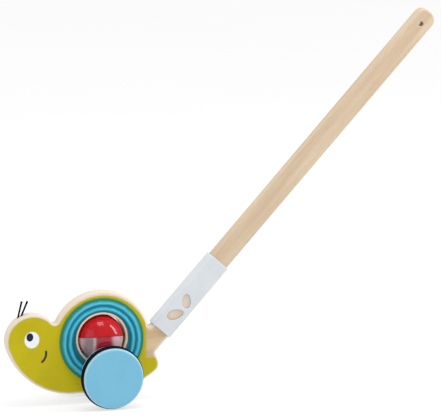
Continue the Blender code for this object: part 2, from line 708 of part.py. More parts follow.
if __name__ == "__main__":
    main()
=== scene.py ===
"""Looks of a wooden push-along snail toy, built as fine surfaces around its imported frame.

Each sub-assembly is a class. Its sizes come from the frame's own nodes where a node gives them, and from named
fields where it doesn't. Shapes are worked out as whole arrays and put into meshes in their final place.
"""

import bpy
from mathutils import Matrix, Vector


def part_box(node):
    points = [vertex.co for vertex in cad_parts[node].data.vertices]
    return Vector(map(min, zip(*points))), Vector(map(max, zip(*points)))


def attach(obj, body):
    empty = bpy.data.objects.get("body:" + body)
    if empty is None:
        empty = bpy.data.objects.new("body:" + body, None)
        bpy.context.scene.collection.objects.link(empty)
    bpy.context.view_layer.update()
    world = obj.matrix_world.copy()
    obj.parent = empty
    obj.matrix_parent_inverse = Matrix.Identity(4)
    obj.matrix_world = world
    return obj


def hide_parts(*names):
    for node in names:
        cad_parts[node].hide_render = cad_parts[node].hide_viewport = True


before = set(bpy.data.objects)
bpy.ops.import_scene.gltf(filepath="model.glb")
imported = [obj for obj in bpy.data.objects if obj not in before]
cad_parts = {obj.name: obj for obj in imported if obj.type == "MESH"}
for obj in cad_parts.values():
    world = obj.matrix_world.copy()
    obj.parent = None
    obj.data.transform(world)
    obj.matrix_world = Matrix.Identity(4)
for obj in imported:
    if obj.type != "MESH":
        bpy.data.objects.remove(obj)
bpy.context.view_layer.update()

import logging
import math
from collections.abc import Sequence
from dataclasses import dataclass, field
from enum import Enum

import bmesh
import bpy
import numpy as np

Array = np.ndarray
Colour = tuple[float, float, float]
Pair = tuple[float, float]
Socket = bpy.types.NodeSocket
Piece = bpy.types.Object
Material = bpy.types.Material

log = logging.getLogger("push_along_snail")

MM = 0.001
TURN = 2 * math.pi
QUARTER = math.pi / 2
WELD = 2e-6
EDGE_DISTANCE = "edge_distance"


class Body(Enum):
    """The moving bodies of the toy."""

    SNAIL = "snail_body"
    BALL = "rattle_ball"
    WHEELS = "wheel_set"


class Side(Enum):
    """The two sides of the toy, as the direction along Y that each faces."""

    NEAR = -1
    FAR = 1


def srgb(red: int, green: int, blue: int) -> Colour:
    """Turn screen values into linear light: a straight part near black, then a 2.4 power.

    Args:
        red: Red from 0 to 255.
        green: Green from 0 to 255.
        blue: Blue from 0 to 255.

    Returns:
        The linear colour.
    """
    channels = np.array([red, green, blue]) / 255
    linear = np.where(channels <= 0.04045, channels / 12.92, ((channels + 0.055) / 1.055) ** 2.4)
    return tuple(float(value) for value in linear)


# ---------------------------------------------------------------------------------------------------------------
# Places read from the frame


def middle(node: str) -> Array:
    """The middle of a frame node's box."""
    low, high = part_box(node)
    return (np.array(low) + np.array(high)) / 2


def extent(node: str) -> Array:
    """The three sides of a frame node's box."""
    low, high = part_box(node)
    return np.array(high) - np.array(low)


LENGTH, DEPTH, HEIGHT = np.eye(3)
BALL = middle("ball_pin")
AXLE = middle("axle")
SHELL = middle("shell_ring_near") * (1.0 - DEPTH)
WINDOW_RISE = float(BALL[2] - SHELL[2])
WINDOW_RADIUS = 28.0 * MM
STICK_ANGLE = math.radians(47.7)
ALONG = np.array([math.cos(STICK_ANGLE), 0.0, math.sin(STICK_ANGLE)])
ACROSS = np.array([-math.sin(STICK_ANGLE), 0.0, math.cos(STICK_ANGLE)])
STICK_OFFSET = 47.9 * MM
STICK_FOOT = SHELL - ACROSS * STICK_OFFSET
STICK_WIDTH = 24.2 * MM
SLEEVE_START = 52.94 * MM
WOOD_THICKNESS = float(extent("body_board")[1])


# ---------------------------------------------------------------------------------------------------------------
# Outlines and profiles


def arc(centre: Sequence[float], radius: float, start: float, end: float, step: float = 2.0) -> Array:
    """Points on a circular arc: centre plus radius times the cosine and sine of evenly spaced angles.

    Args:
        centre: The circle's centre in the plane.
        radius: The circle's radius.
        start: The first angle.
        end: The last angle, lower than the first for a clockwise arc.
        step: The angle between points, in degrees.

    Returns:
        The points, both ends included.
    """
    angles = np.linspace(start, end, max(3, round(abs(end - start) / math.radians(step))) + 1)
    return np.stack([centre[0] + radius * np.cos(angles), centre[1] + radius * np.sin(angles)], axis=1)


def angle_to(centre: Sequence[float], point: Sequence[float]) -> float:
    """The direction from a centre to a point, from 0 to a full turn."""
    return math.atan2(point[1] - centre[1], point[0] - centre[0]) % TURN


def rounded(corners: Sequence[Sequence[float]], radii: Sequence[float]) -> Array:
    """Round an outline's corners, each by an arc that touches both of its sides.

    The arc's centre lies on the corner's bisector at the radius over the sine of half the corner's angle.

    Args:
        corners: The outline's corners in order.
        radii: One radius for each corner, 0 to keep it sharp.

    Returns:
        The outline's points.
    """
    parts = []
    places = [np.array(corner, float) for corner in corners]
    for index, (corner, radius) in enumerate(zip(places, radii)):
        if radius == 0:
            parts.append(corner[None, :])
            continue
        before = places[index - 1] - corner
        after = places[(index + 1) % len(places)] - corner
        before /= np.linalg.norm(before)
        after /= np.linalg.norm(after)
        half = math.acos(float(before @ after)) / 2
        centre = corner + (before + after) / np.linalg.norm(before + after) * radius / math.sin(half)
        reach = radius / math.tan(half)
        start = angle_to(centre, corner + before * reach)
        sweep = (angle_to(centre, corner + after * reach) - start + math.pi) % TURN - math.pi
        parts.append(arc(centre, radius, start, start + sweep, 6.0))
    return np.concatenate(parts)


def rectangle(width: float, height: float, corner: float) -> Array:
    """A rectangle about the origin, with as many points at any size, its four corners rounded by one radius."""
    x, y = width / 2, height / 2
    return rounded([(-x, -y), (x, -y), (x, y), (-x, y)], [corner] * 4)


def spaced(outline: Array, spacing: float) -> Array:
    """Add points to a closed outline so that none of its sides is longer than a spacing.

    Args:
        outline: The outline's points.
        spacing: The longest side allowed.

    Returns:
        The outline with points added along its long sides.
    """
    following = np.roll(outline, -1, axis=0)
    counts = np.maximum(1, np.ceil(np.linalg.norm(following - outline, axis=1) / spacing).astype(int))
    starts = np.repeat(np.arange(len(outline)), counts)
    first = np.repeat(np.cumsum(counts) - counts, counts)
    share = ((np.arange(len(starts)) - first) / np.repeat(counts, counts))[:, None]
    return outline[starts] * (1 - share) + following[starts] * share


def outward(outline: Array) -> Array:
    """The direction out of the material at each point of a closed outline.

    It is the mean of the two sides' right-hand normals, lengthened so that an inset moves each side evenly. An
    outer outline runs anticlockwise and a hole clockwise.

    Args:
        outline: The outline's points.

    Returns:
        One vector for each point.
    """
    forward = np.roll(outline, -1, axis=0) - outline
    forward /= np.linalg.norm(forward, axis=1)[:, None]
    normals = np.stack([forward[:, 1], -forward[:, 0]], axis=1)
    total = normals + np.roll(normals, 1, axis=0)
    return 2 * total / np.sum(total * total, axis=1)[:, None]


def edge_profile(half: float, rounding: float, steps: int = 8) -> Array:
    """A plate's edge from one face to the other: two quarter circles, joined by the straight side between them.

    Args:
        half: Half the plate's thickness.
        rounding: The radius of both edges.
        steps: Rows in each quarter circle.

    Returns:
        Rows of (inset, depth).
    """
    angles = np.linspace(0, QUARTER, steps + 1)
    inset = rounding * (1 - np.sin(angles))
    depth = half - rounding * (1 - np.cos(angles))
    return np.concatenate([np.stack([inset, -depth], axis=1), np.stack([inset, depth], axis=1)[::-1]])


# ---------------------------------------------------------------------------------------------------------------
# Meshes


def grid_faces(rows: int, columns: int, wrap_rows: bool, wrap_columns: bool) -> Array:
    """The four corners of every cell in a grid of points, by index.

    Args:
        rows: Rows of points.
        columns: Points in each row.
        wrap_rows: Whether the last row joins the first.
        wrap_columns: Whether each row closes on itself.

    Returns:
        One row of four indices for each cell.
    """
    i = np.arange(rows if wrap_rows else rows - 1)[:, None]
    j = np.arange(columns if wrap_columns else columns - 1)[None, :]
    below, beside = (i + 1) % rows, (j + 1) % columns
    corners = (i * columns + j, below * columns + j, below * columns + beside, i * columns + beside)
    return np.stack(corners, axis=-1).reshape(-1, 4)


def linked(name: str, data: bpy.types.ID) -> Piece:
    """Put an object with some data into the scene."""
    made = bpy.data.objects.new(name, data)
    bpy.context.scene.collection.objects.link(made)
    return made


@dataclass
class Shape:
    """Grids of points gathered into one closed mesh."""

    points: list[Array] = field(default_factory=list)
    faces: list[Array] = field(default_factory=list)
    count: int = 0

    def grid(self, points: Array, wrap_rows: bool = False, wrap_columns: bool = True) -> "Shape":
        """Add a surface given as rows of points.

        Args:
            points: An array of rows, columns and three coordinates.
            wrap_rows: Whether the last row joins the first.
            wrap_columns: Whether each row closes on itself.

        Returns:
            This shape.
        """
        rows, columns = points.shape[:2]
        self.points.append(points.reshape(-1, 3))
        self.faces.append(grid_faces(rows, columns, wrap_rows, wrap_columns) + self.count)
        self.count += rows * columns
        return self

    def build(self, name: str, fill: Array | None = None) -> Piece:
        """Make the mesh and its object.

        Points that coincide are joined, so that poles close, and the faces are turned outwards.

        Args:
            name: The piece's name.
            fill: The direction across which open loops are filled flat, or None to fill none.

        Returns:
            The object, at the origin.
        """
        mesh = bpy.data.meshes.new(name)
        mesh.from_pydata(np.concatenate(self.points), [], np.concatenate(self.faces))
        shape = bmesh.new()
        shape.from_mesh(mesh)
        bmesh.ops.remove_doubles(shape, verts=shape.verts, dist=WELD)
        for face in shape.faces:
            face.smooth = True
        if fill is not None:
            fill_loops(shape, fill)
        bmesh.ops.recalc_face_normals(shape, faces=shape.faces)
        shape.to_mesh(mesh)
        shape.free()
        return linked(name, mesh)


def fill_loops(shape: bmesh.types.BMesh, direction: Array) -> None:
    """Fill a plate's two faces, each with its holes, with flat triangles.

    Args:
        shape: The plate's open edge surfaces.
        direction: The plate's normal.
    """
    open_edges = [edge for edge in shape.edges if len(edge.link_faces) == 1]
    heights = np.array([np.dot(edge.verts[0].co, direction) for edge in open_edges])
    level = (heights.min() + heights.max()) / 2
    for above in (False, True):
        side = [edge for edge, height in zip(open_edges, heights) if (height > level) == above]
        made = bmesh.ops.triangle_fill(shape, edges=side, use_beauty=True, use_dissolve=False)
        for element in made["geom"]:
            if isinstance(element, bmesh.types.BMFace):
                element.smooth = False


@dataclass(frozen=True)
class Plane:
    """A flat frame: an origin and the directions of its two plane coordinates and of its depth."""

    origin: Array
    first: Array
    second: Array
    depth: Array

    def place(self, flat: Array, depth: Array | float) -> Array:
        """Put plane points at a depth: origin plus each coordinate times its direction."""
        depths = np.broadcast_to(np.asarray(depth, float), flat.shape[:-1])[..., None]
        return self.origin + flat[..., :1] * self.first + flat[..., 1:] * self.second + depths * self.depth


BOARD_PLANE = Plane(SHELL, LENGTH, HEIGHT, DEPTH)
STICK_PLANE = Plane(STICK_FOOT, ALONG, ACROSS, DEPTH)


def facing(centre: Array, side: Side) -> Plane:
    """The upright plane through a centre whose depth grows towards a side of the toy."""
    return Plane(centre, LENGTH, HEIGHT, side.value * DEPTH)


@dataclass(frozen=True)
class Loop:
    """One closed outline of a plate.

    Its points run anticlockwise, or clockwise round a hole. Its rounding is the radius of both edges. Its margin is
    how far its rows go on across the two faces, for each point or for all.
    """

    points: Array
    rounding: float
    margin: Array | float = 0.0


MARGIN_ROWS = np.array([0.12, 0.3, 0.5, 0.75, 1.0])


def plate(name: str, plane: Plane, loops: Sequence[Loop]) -> Piece:
    """A flat piece of the toy's wood, with rounded edges and holes.

    Each loop is carried round its edge profile: a point is its outline point, less its outward direction times
    the row's inset, at the row's depth. The rows go on across both faces for the loop's margin, and the two faces
    between the loops are flat.

    Args:
        name: The piece's name.
        plane: The frame that the outlines are drawn in.
        loops: The outer outline and any holes.

    Returns:
        The piece.
    """
    shape = Shape()
    for loop in loops:
        profile = edge_profile(WOOD_THICKNESS / 2, loop.rounding)
        inset = np.broadcast_to(profile[:, :1], (len(profile), len(loop.points)))
        depth = profile[:, 1]
        if np.any(loop.margin):
            face = loop.rounding + MARGIN_ROWS[:, None] * np.broadcast_to(loop.margin, len(loop.points))
            inset = np.concatenate([face[::-1], inset, face])
            depth = np.pad(depth, len(MARGIN_ROWS), mode="edge")
        flat = loop.points - outward(loop.points) * inset[..., None]
        shape.grid(plane.place(flat, depth[:, None]))
    return shape.build(name, fill=plane.depth)


def mark_edge_distance(piece: Piece, plane: Plane, outline: Array) -> None:
    """Store how far each of a plate's points lies from its outline, in the plate's plane.

    The nearest place on a side of the outline is the foot of the point's perpendicular, held between the side's
    ends. The shortest distance over all sides is kept.

    Args:
        piece: The plate.
        plane: The frame that the outline is drawn in.
        outline: The outer outline.
    """
    mesh = piece.data
    points = np.empty(len(mesh.vertices) * 3)
    mesh.vertices.foreach_get("co", points)
    flat = (points.reshape(-1, 3) - plane.origin) @ np.stack([plane.first, plane.second], axis=1)
    side = np.roll(outline, -1, axis=0) - outline
    offset = flat[:, None] - outline[None]
    share = np.clip(np.sum(offset * side, axis=2) / np.sum(side * side, axis=1), 0.0, 1.0)
    distance = np.linalg.norm(offset - share[..., None] * side, axis=2).min(axis=1)
    mesh.attributes.new(EDGE_DISTANCE, "FLOAT", "POINT").data.foreach_set("value", distance)


def swept(name: str, plane: Plane, radius: Array, height: Array, closed: bool = False) -> Piece:
    """A surface round a plane's depth axis.

    A point lies at its radius times the cosine and sine of its column's angle in the plane, at its row's height.

    Args:
        name: The piece's name.
        plane: The frame whose depth is the axis.
        radius: One radius for each row and column.
        height: One height for each row.
        closed: Whether the rows close on themselves, as a ring's do.

    Returns:
        The piece.
    """
    angles = np.linspace(0, TURN, radius.shape[1], endpoint=False)
    flat = radius[..., None] * np.stack([np.cos(angles), np.sin(angles)], axis=-1)
    return Shape().grid(plane.place(flat, height[:, None]), wrap_rows=closed).build(name)


def turned(name: str, plane: Plane, profile: Array, segments: int, closed: bool = False) -> Piece:
    """A piece turned about a plane's depth axis: its profile's rows, swept with one radius all round.

    Args:
        name: The piece's name.
        plane: The frame whose depth is the axis.
        profile: Rows of (radius, height).
        segments: Steps round the axis.
        closed: Whether the profile closes on itself, as a ring's does.

    Returns:
        The piece.
    """
    radius = np.broadcast_to(profile[:, :1], (len(profile), segments))
    return swept(name, plane, radius, profile[:, 1], closed)


def rod(name: str, plane: Plane, radius: float, half: float, ease: float, crown: float, segments: int) -> Piece:
    """A rod about a plane's origin, with eased ends that may rise to a shallow crown.

    Args:
        name: The piece's name.
        plane: The frame whose depth is the rod's axis.
        radius: The rod's radius.
        half: Half its length.
        ease: The size of the eased edge.
        crown: How far the end's middle stands proud.
        segments: Steps round the axis.

    Returns:
        The piece.
    """
    end = np.array([[radius, half - ease], [radius - ease, half - crown], [0.0, half]])
    return turned(name, plane, np.concatenate([(end * [1.0, -1.0])[::-1], end]), segments)


def plug(name: str, rows: Array) -> Piece:
    """A closed plug from its rows of points, each end drawn in to its mean point."""
    ends = [np.broadcast_to(row.mean(axis=0), row[None].shape) for row in (rows[0], rows[-1])]
    return Shape().grid(np.concatenate([ends[0], rows, ends[1]])).build(name)


def cut(piece: Piece, cutter: Piece) -> None:
    """Take one closed mesh out of another and keep the result as the piece's own mesh.

    Args:
        piece: The piece that is cut.
        cutter: The mesh that is taken out, which is then removed.
    """
    modifier = piece.modifiers.new("cut", "BOOLEAN")
    modifier.operation = "DIFFERENCE"
    modifier.solver = "EXACT"
    modifier.object = cutter
    graph = bpy.context.evaluated_depsgraph_get()
    made = bpy.data.meshes.new_from_object(piece.evaluated_get(graph))
    piece.modifiers.clear()
    piece.data = made
    bpy.data.objects.remove(cutter, do_unlink=True)


def flatten(piece: Piece, directions: Sequence[Array]) -> None:
    """Shade flat every face that looks exactly along one of some directions, so that its neighbours can't tint it.

    Args:
        piece: The piece.
        directions: The directions, as unit vectors.
    """
    mesh = piece.data
    normals = np.empty(len(mesh.polygons) * 3)
    mesh.polygons.foreach_get("normal", normals)
    along = np.abs(normals.reshape(-1, 3) @ np.array(directions).T).max(axis=1)
    mesh.polygons.foreach_set("use_smooth", along < 0.9999)


# ---------------------------------------------------------------------------------------------------------------
# Materials


class Nodes:
    """A short way to write a material's nodes. Every value may be a number, a colour or a socket."""

    def __init__(self, name: str, centre: Sequence[float] = (0.0, 0.0, 0.0), turn: float = 0.0) -> None:
        """Start a material with a Principled shader.

        Args:
            name: The material's name.
            centre: The origin of its patterns.
            turn: Its grain's direction above X.
        """
        self.material = bpy.data.materials.new(name)
        self.material.use_nodes = True
        self.tree = self.material.node_tree
        self.shader = self.tree.nodes["Principled BSDF"]
        self.centre = centre
        self.turn = turn
        self.relative = self.mapped()
        self.across, self.depth, self.up = self.split(self.relative)

    def put(self, socket: Socket, value: object) -> None:
        """Link or set one socket."""
        if isinstance(value, bpy.types.NodeSocket):
            self.tree.links.new(value, socket)
        elif isinstance(value, tuple) and len(value) == 3 and socket.type == "RGBA":
            socket.default_value = (*value, 1.0)
        else:
            socket.default_value = value

    def node(self, kind: str, inputs: dict | None = None, **settings: object) -> bpy.types.Node:
        """Add a node.

        Args:
            kind: The node's type, without its ShaderNode prefix.
            inputs: Its inputs by name or index.
            **settings: Its own settings.

        Returns:
            The node.
        """
        made = self.tree.nodes.new("ShaderNode" + kind)
        for key, value in settings.items():
            setattr(made, key, value)
        for key, value in (inputs or {}).items():
            self.put(made.inputs[key], value)
        return made

    def math(self, operation: str, *values: object) -> Socket:
        """One arithmetic step."""
        return self.node("Math", dict(enumerate(values)), operation=operation).outputs[0]

    def add(self, first: object, second: object) -> Socket:
        """The sum of two values."""
        return self.math("ADD", first, second)

    def less(self, first: object, second: object) -> Socket:
        """The first value less the second."""
        return self.math("SUBTRACT", first, second)

    def times(self, first: object, second: object) -> Socket:
        """The product of two values."""
        return self.math("MULTIPLY", first, second)

    def blend(self, first: object, share: float, second: object) -> Socket:
        """A weighted mean: the first value by its share, plus the second by the rest."""
        return self.add(self.times(first, share), self.times(second, 1.0 - share))

    def length(self, first: object, second: object) -> Socket:
        """The root of the sum of two values' squares."""
        return self.math("SQRT", self.add(self.math("POWER", first, 2.0), self.math("POWER", second, 2.0)))

    def split(self, vector: Socket) -> Sequence[Socket]:
        """A vector's three coordinates."""
        return self.node("SeparateXYZ", {0: vector}).outputs

    def mapped(self, turn: float = 0.0, scale: Colour = (1.0, 1.0, 1.0),
               centre: Sequence[float] | None = None) -> Socket:
        """The point measured from a centre, turned about Y and stretched.

        Args:
            turn: The angle of the pattern's first direction above X.
            scale: How dense the pattern is along each of its directions.
            centre: The pattern's origin, or None for the material's own.

        Returns:
            The pattern's coordinates.
        """
        place = self.node("TexCoord").outputs["Object"]
        origin = tuple(self.centre if centre is None else centre)
        moved = self.node("VectorMath", {0: place, 1: origin}, operation="SUBTRACT")
        turned_back = self.node("Mapping", {0: moved.outputs[0], "Rotation": (0.0, turn, 0.0)})
        return self.node("VectorMath", {0: turned_back.outputs[0], 1: scale}, operation="MULTIPLY").outputs[0]

    def own(self, attribute: str) -> Socket:
        """A value that the piece stores at each of its points."""
        return self.node("Attribute", attribute_type="GEOMETRY", attribute_name=attribute).outputs["Fac"]

    def reach(self, centre: Sequence[float] | None = None) -> Socket:
        """The distance from an axis along Y, through a centre or the material's own."""
        across, _, up = self.split(self.mapped(centre=centre))
        return self.length(across, up)

    def noise(self, scale: float, detail: float = 3.0, roughness: float = 0.55,
              where: Socket | None = None) -> Socket:
        """Smooth noise from 0 to 1, over the relative place unless another is given."""
        inputs = {"Vector": where or self.relative, "Scale": scale, "Detail": detail, "Roughness": roughness}
        return self.node("TexNoise", inputs).outputs["Fac"]

    def grain(self, stretch: float, scale: float, detail: float, roughness: float) -> Socket:
        """Noise stretched along the material's grain."""
        return self.noise(scale, detail, roughness, self.mapped(self.turn, (stretch, 1.0, 1.0)))

    def scaled(self, value: object, low: float, high: float, to_low: float = 0.0, to_high: float = 1.0,
               kind: str = "LINEAR") -> Socket:
        """A change of range, held at both ends.

        Args:
            value: What is changed.
            low: The range's start.
            high: The range's end.
            to_low: What the start becomes.
            to_high: What the end becomes.
            kind: The interpolation.

        Returns:
            The changed value.
        """
        inputs = {"Value": value, "From Min": low, "From Max": high, "To Min": to_low, "To Max": to_high}
        return self.node("MapRange", inputs, interpolation_type=kind).outputs[0]

    def step(self, value: object, low: float, high: float, to_low: float = 0.0, to_high: float = 1.0) -> Socket:
        """A smooth step between two values."""
        return self.scaled(value, low, high, to_low, to_high, "SMOOTHSTEP")

    def within(self, value: object, edge: float, softness: float) -> Socket:
        """1 below an edge and 0 above it, with a soft step between."""
        return self.step(value, edge - softness, edge + softness, 1.0, 0.0)

    def vary(self, noise: Socket, low: float, high: float) -> Socket:
        """Spread the usual range of a noise between two values."""
        return self.scaled(noise, 0.3, 0.7, low, high)

    def mix(self, share: object, first: object, second: object) -> Socket:
        """Mix two colours."""
        return self.node("Mix", {0: share, 6: first, 7: second}, data_type="RGBA").outputs[2]

    def clouded(self, first: Colour, second: Colour, scale: float, detail: float = 3.0, low: float = 0.35) -> Socket:
        """Two colours in soft clouds.

        Args:
            first: The usual colour.
            second: The clouds' colour.
            scale: The clouds' density.
            detail: The noise's detail.
            low: The noise at which clouds begin; they are full 0.35 above it.

        Returns:
            The colour.
        """
        return self.mix(self.step(self.noise(scale, detail), low, low + 0.35), first, second)

    def ramp(self, value: object, stops: Sequence[tuple[float, Colour]], easing: str = "LINEAR") -> Socket:
        """A colour ramp.

        Args:
            value: What is looked up.
            stops: Positions from 0 to 1 with their colours.
            easing: The ramp's interpolation.

        Returns:
            The colour.
        """
        made = self.node("ValToRGB", {0: value})
        made.color_ramp.interpolation = easing
        elements = made.color_ramp.elements
        elements[0].position, elements[1].position = stops[0][0], stops[-1][0]
        for position, _ in stops[1:-1]:
            elements.new(position)
        for element, (_, colour) in zip(elements, stops):
            element.color = (*colour, 1.0)
        return made.outputs["Color"]

    def bump(self, height: Socket, distance: float, strength: float, under: Socket | None = None) -> Socket:
        """A bumped normal, over another if one is given."""
        below = {} if under is None else {"Normal": under}
        return self.node("Bump", {"Height": height, "Distance": distance, "Strength": strength, **below}).outputs[0]

    def finish(self, **inputs: object) -> Material:
        """Set the shader's inputs, named with underscores for spaces, and return the material."""
        for key, value in inputs.items():
            self.put(self.shader.inputs[key.replace("_", " ")], value)
        return self.material


class Finish:
    """A look that can be written as a material."""

    def dress(self, nodes: Nodes) -> dict[str, object]:
        """Work out the shader's inputs, named with underscores for spaces.

        Args:
            nodes: The material being written.

        Returns:
            The inputs.
        """
        raise NotImplementedError

    def material(self, name: str, centre: Sequence[float], turn: float = 0.0) -> Material:
        """Write the material from its patterns' origin and its grain's direction above X."""
        nodes = Nodes(name, centre, turn)
        return nodes.finish(**self.dress(nodes))


@dataclass(frozen=True)
class WoodGrain:
    """Pale beech: soft bands along the grain with short darker flecks.

    Each layer of noise has its stretch along the grain, its density, its detail and its roughness.
    """

    light: Colour = srgb(226, 206, 180)
    dark: Colour = srgb(203, 177, 145)
    fleck: Colour = srgb(170, 138, 104)
    band_layer: tuple[float, float, float, float] = (0.06, 90.0, 4.0, 0.6)
    line_layer: tuple[float, float, float, float] = (0.02, 420.0, 3.0, 0.6)
    fleck_layer: tuple[float, float, float, float] = (0.14, 900.0, 2.0, 0.5)

    def colour(self, nodes: Nodes) -> tuple[Socket, Socket]:
        """Work out the wood's colour and the height of its grain: bands, then lines and flecks over them.

        Args:
            nodes: The material being written.

        Returns:
            The colour and the grain's height.
        """
        bands, lines, flecks = (nodes.grain(*layer) for layer in (self.band_layer, self.line_layer, self.fleck_layer))
        base = nodes.mix(nodes.step(bands, 0.32, 0.68), self.light, self.dark)
        lined = nodes.mix(nodes.scaled(lines, 0.45, 0.75, 0.0, 0.45), base, self.dark)
        marked = nodes.mix(nodes.scaled(flecks, 0.60, 0.74, 0.0, 0.40), lined, self.fleck)
        return marked, nodes.blend(lines, 0.6, flecks)


@dataclass(frozen=True)
class BareWood(Finish):
    """Sanded wood under a thin matt lacquer."""

    grain: WoodGrain = WoodGrain(light=srgb(205, 187, 162), dark=srgb(192, 169, 142))
    roughness: Pair = (0.46, 0.62)
    specular: float = 0.2

    def dress(self, nodes: Nodes) -> dict[str, object]:
        """Colour the wood by its grain, whose height also varies the roughness and the surface.

        Args:
            nodes: The material being written.

        Returns:
            The shader's inputs.
        """
        colour, height = self.grain.colour(nodes)
        return dict(Base_Color=colour, Roughness=nodes.vary(height, *self.roughness),
                    Normal=nodes.bump(height, 0.06 * MM, 0.8), Specular_IOR_Level=self.specular)


@dataclass(frozen=True)
class FacePrint:
    """The printed eye and smile, by their places from the shell's centre."""

    eye: Pair = (-82.7 * MM, 5.6 * MM)
    eye_radii: Pair = (8.8 * MM, 9.7 * MM)
    pupil: Pair = (-85.1 * MM, 8.9 * MM)
    pupil_radii: Pair = (4.1 * MM, 4.9 * MM)
    smile_centre: Pair = (-78.5 * MM, -11.0 * MM)
    smile_radius: float = 12.6 * MM
    smile_start: float = math.radians(-57.0)
    smile_end: float = math.radians(14.0)
    smile_width: float = 1.35 * MM
    smile_softness: float = math.radians(3.0)
    white: Colour = srgb(224, 229, 230)
    ink: Colour = srgb(24, 34, 60)
    smile_ink: Colour = srgb(58, 56, 40)
    softness: float = 0.25 * MM

    def disc(self, nodes: Nodes, centre: Pair, radii: Pair) -> Socket:
        """A soft-edged ellipse: 1 where the scaled distance from its centre is under 1.

        Args:
            nodes: The material being written.
            centre: The ellipse's centre.
            radii: Its two half axes.

        Returns:
            The mask.
        """
        across = nodes.math("DIVIDE", nodes.less(nodes.across, centre[0]), radii[0])
        up = nodes.math("DIVIDE", nodes.less(nodes.up, centre[1]), radii[1])
        return nodes.within(nodes.length(across, up), 1.0, self.softness / radii[0])

    def smile(self, nodes: Nodes) -> Socket:
        """A stroke along an arc: near the arc's radius, and between its two end directions.

        Args:
            nodes: The material being written.

        Returns:
            The mask.
        """
        across = nodes.less(nodes.across, self.smile_centre[0])
        up = nodes.less(nodes.up, self.smile_centre[1])
        off = nodes.math("ABSOLUTE", nodes.less(nodes.length(across, up), self.smile_radius))
        stroke = nodes.within(off, self.smile_width, self.softness)
        direction = nodes.math("ARCTAN2", up, across)
        soft = self.smile_softness
        after = nodes.step(direction, self.smile_start - soft, self.smile_start + soft)
        return nodes.times(stroke, nodes.times(after, nodes.within(direction, self.smile_end, soft)))

    def over(self, nodes: Nodes, paint: Socket) -> Socket:
        """Lay the print over a painted colour.

        Args:
            nodes: The material being written.
            paint: The colour below.

        Returns:
            The colour with the print.
        """
        smiling = nodes.mix(self.smile(nodes), paint, self.smile_ink)
        eyed = nodes.mix(self.disc(nodes, self.eye, self.eye_radii), smiling, self.white)
        return nodes.mix(self.disc(nodes, self.pupil, self.pupil_radii), eyed, self.ink)


@dataclass(frozen=True)
class PaintedBoard(Finish):
    """Olive paint on a board's two faces that fades towards its bare, nearly white edges, which are partly pale wood
    and partly a painted highlight on the rounding, and towards its bare neck.
    """

    paint: Colour = srgb(184, 170, 8)
    paint_deep: Colour = srgb(178, 163, 5)
    edge_paint: Colour = srgb(200, 184, 84)
    # Nearly white edge colour: partly pale bare wood, partly a painted highlight on the rounded edge.
    sanded_edge_and_highlight: Colour = srgb(213, 200, 184)
    grain: WoodGrain = WoodGrain(light=srgb(208, 183, 150), dark=srgb(194, 166, 131))
    print: FacePrint = FacePrint()
    fade: Pair = (1.3 * MM, 3.4 * MM)
    sanding: Pair = (2.0 * MM, 4.5 * MM)
    margin_levels: Pair = (10.0 * MM, 55.0 * MM)
    top_margin: float = 2.2 * MM
    neck_line: float = 53.4 * MM
    neck_softness: float = 2.5 * MM
    tail_line: float = -24.2 * MM
    tail_softness: float = 0.5 * MM
    wander: float = 0.6 * MM
    specular: float = 0.15

    def dress(self, nodes: Nodes) -> dict[str, object]:
        """Lay paint left of the neck's line or below the tail's.

        It thins out with the stored distance from the board's outline, where the bare margin widens from the belly
        to the top. Each limit wanders a little.

        Args:
            nodes: The material being written.

        Returns:
            The shader's inputs.
        """
        wood, grain = self.grain.colour(nodes)
        wander = nodes.vary(nodes.noise(160.0), -self.wander, self.wander)
        margin = nodes.step(nodes.up, *self.margin_levels, 0.0, self.top_margin)
        from_edge = nodes.less(nodes.add(nodes.own(EDGE_DISTANCE), nodes.times(wander, 0.4)), margin)
        left = nodes.within(nodes.add(nodes.across, wander), self.neck_line, self.neck_softness)
        below = nodes.within(nodes.add(nodes.up, wander), self.tail_line, self.tail_softness)
        covered = nodes.times(nodes.step(from_edge, *self.fade), nodes.math("MAXIMUM", left, below))
        colour = nodes.clouded(self.paint, self.paint_deep, 30.0, 2.0)
        colour = nodes.mix(nodes.scaled(grain, 0.45, 0.75, 0.0, 0.10), colour, self.edge_paint)
        colour = self.print.over(nodes, colour)
        # Bare edge: the nearly white colour, partly pale wood and partly painted highlight, goes over to the wood's
        # grain further in.
        bare = nodes.mix(nodes.step(from_edge, *self.sanding), self.sanded_edge_and_highlight, wood)
        speckle = nodes.noise(1400.0, 2.0)
        rough = nodes.add(nodes.scaled(covered, 0.0, 1.0, 0.60, 0.46), nodes.vary(speckle, -0.04, 0.06))
        height = nodes.add(nodes.times(grain, 0.5), nodes.times(covered, 0.8))
        normal = nodes.bump(speckle, 0.03 * MM, 0.35, nodes.bump(height, 0.08 * MM, 0.6))
        return dict(Base_Color=nodes.mix(covered, bare, colour), Roughness=rough, Normal=normal,
                    Specular_IOR_Level=self.specular)


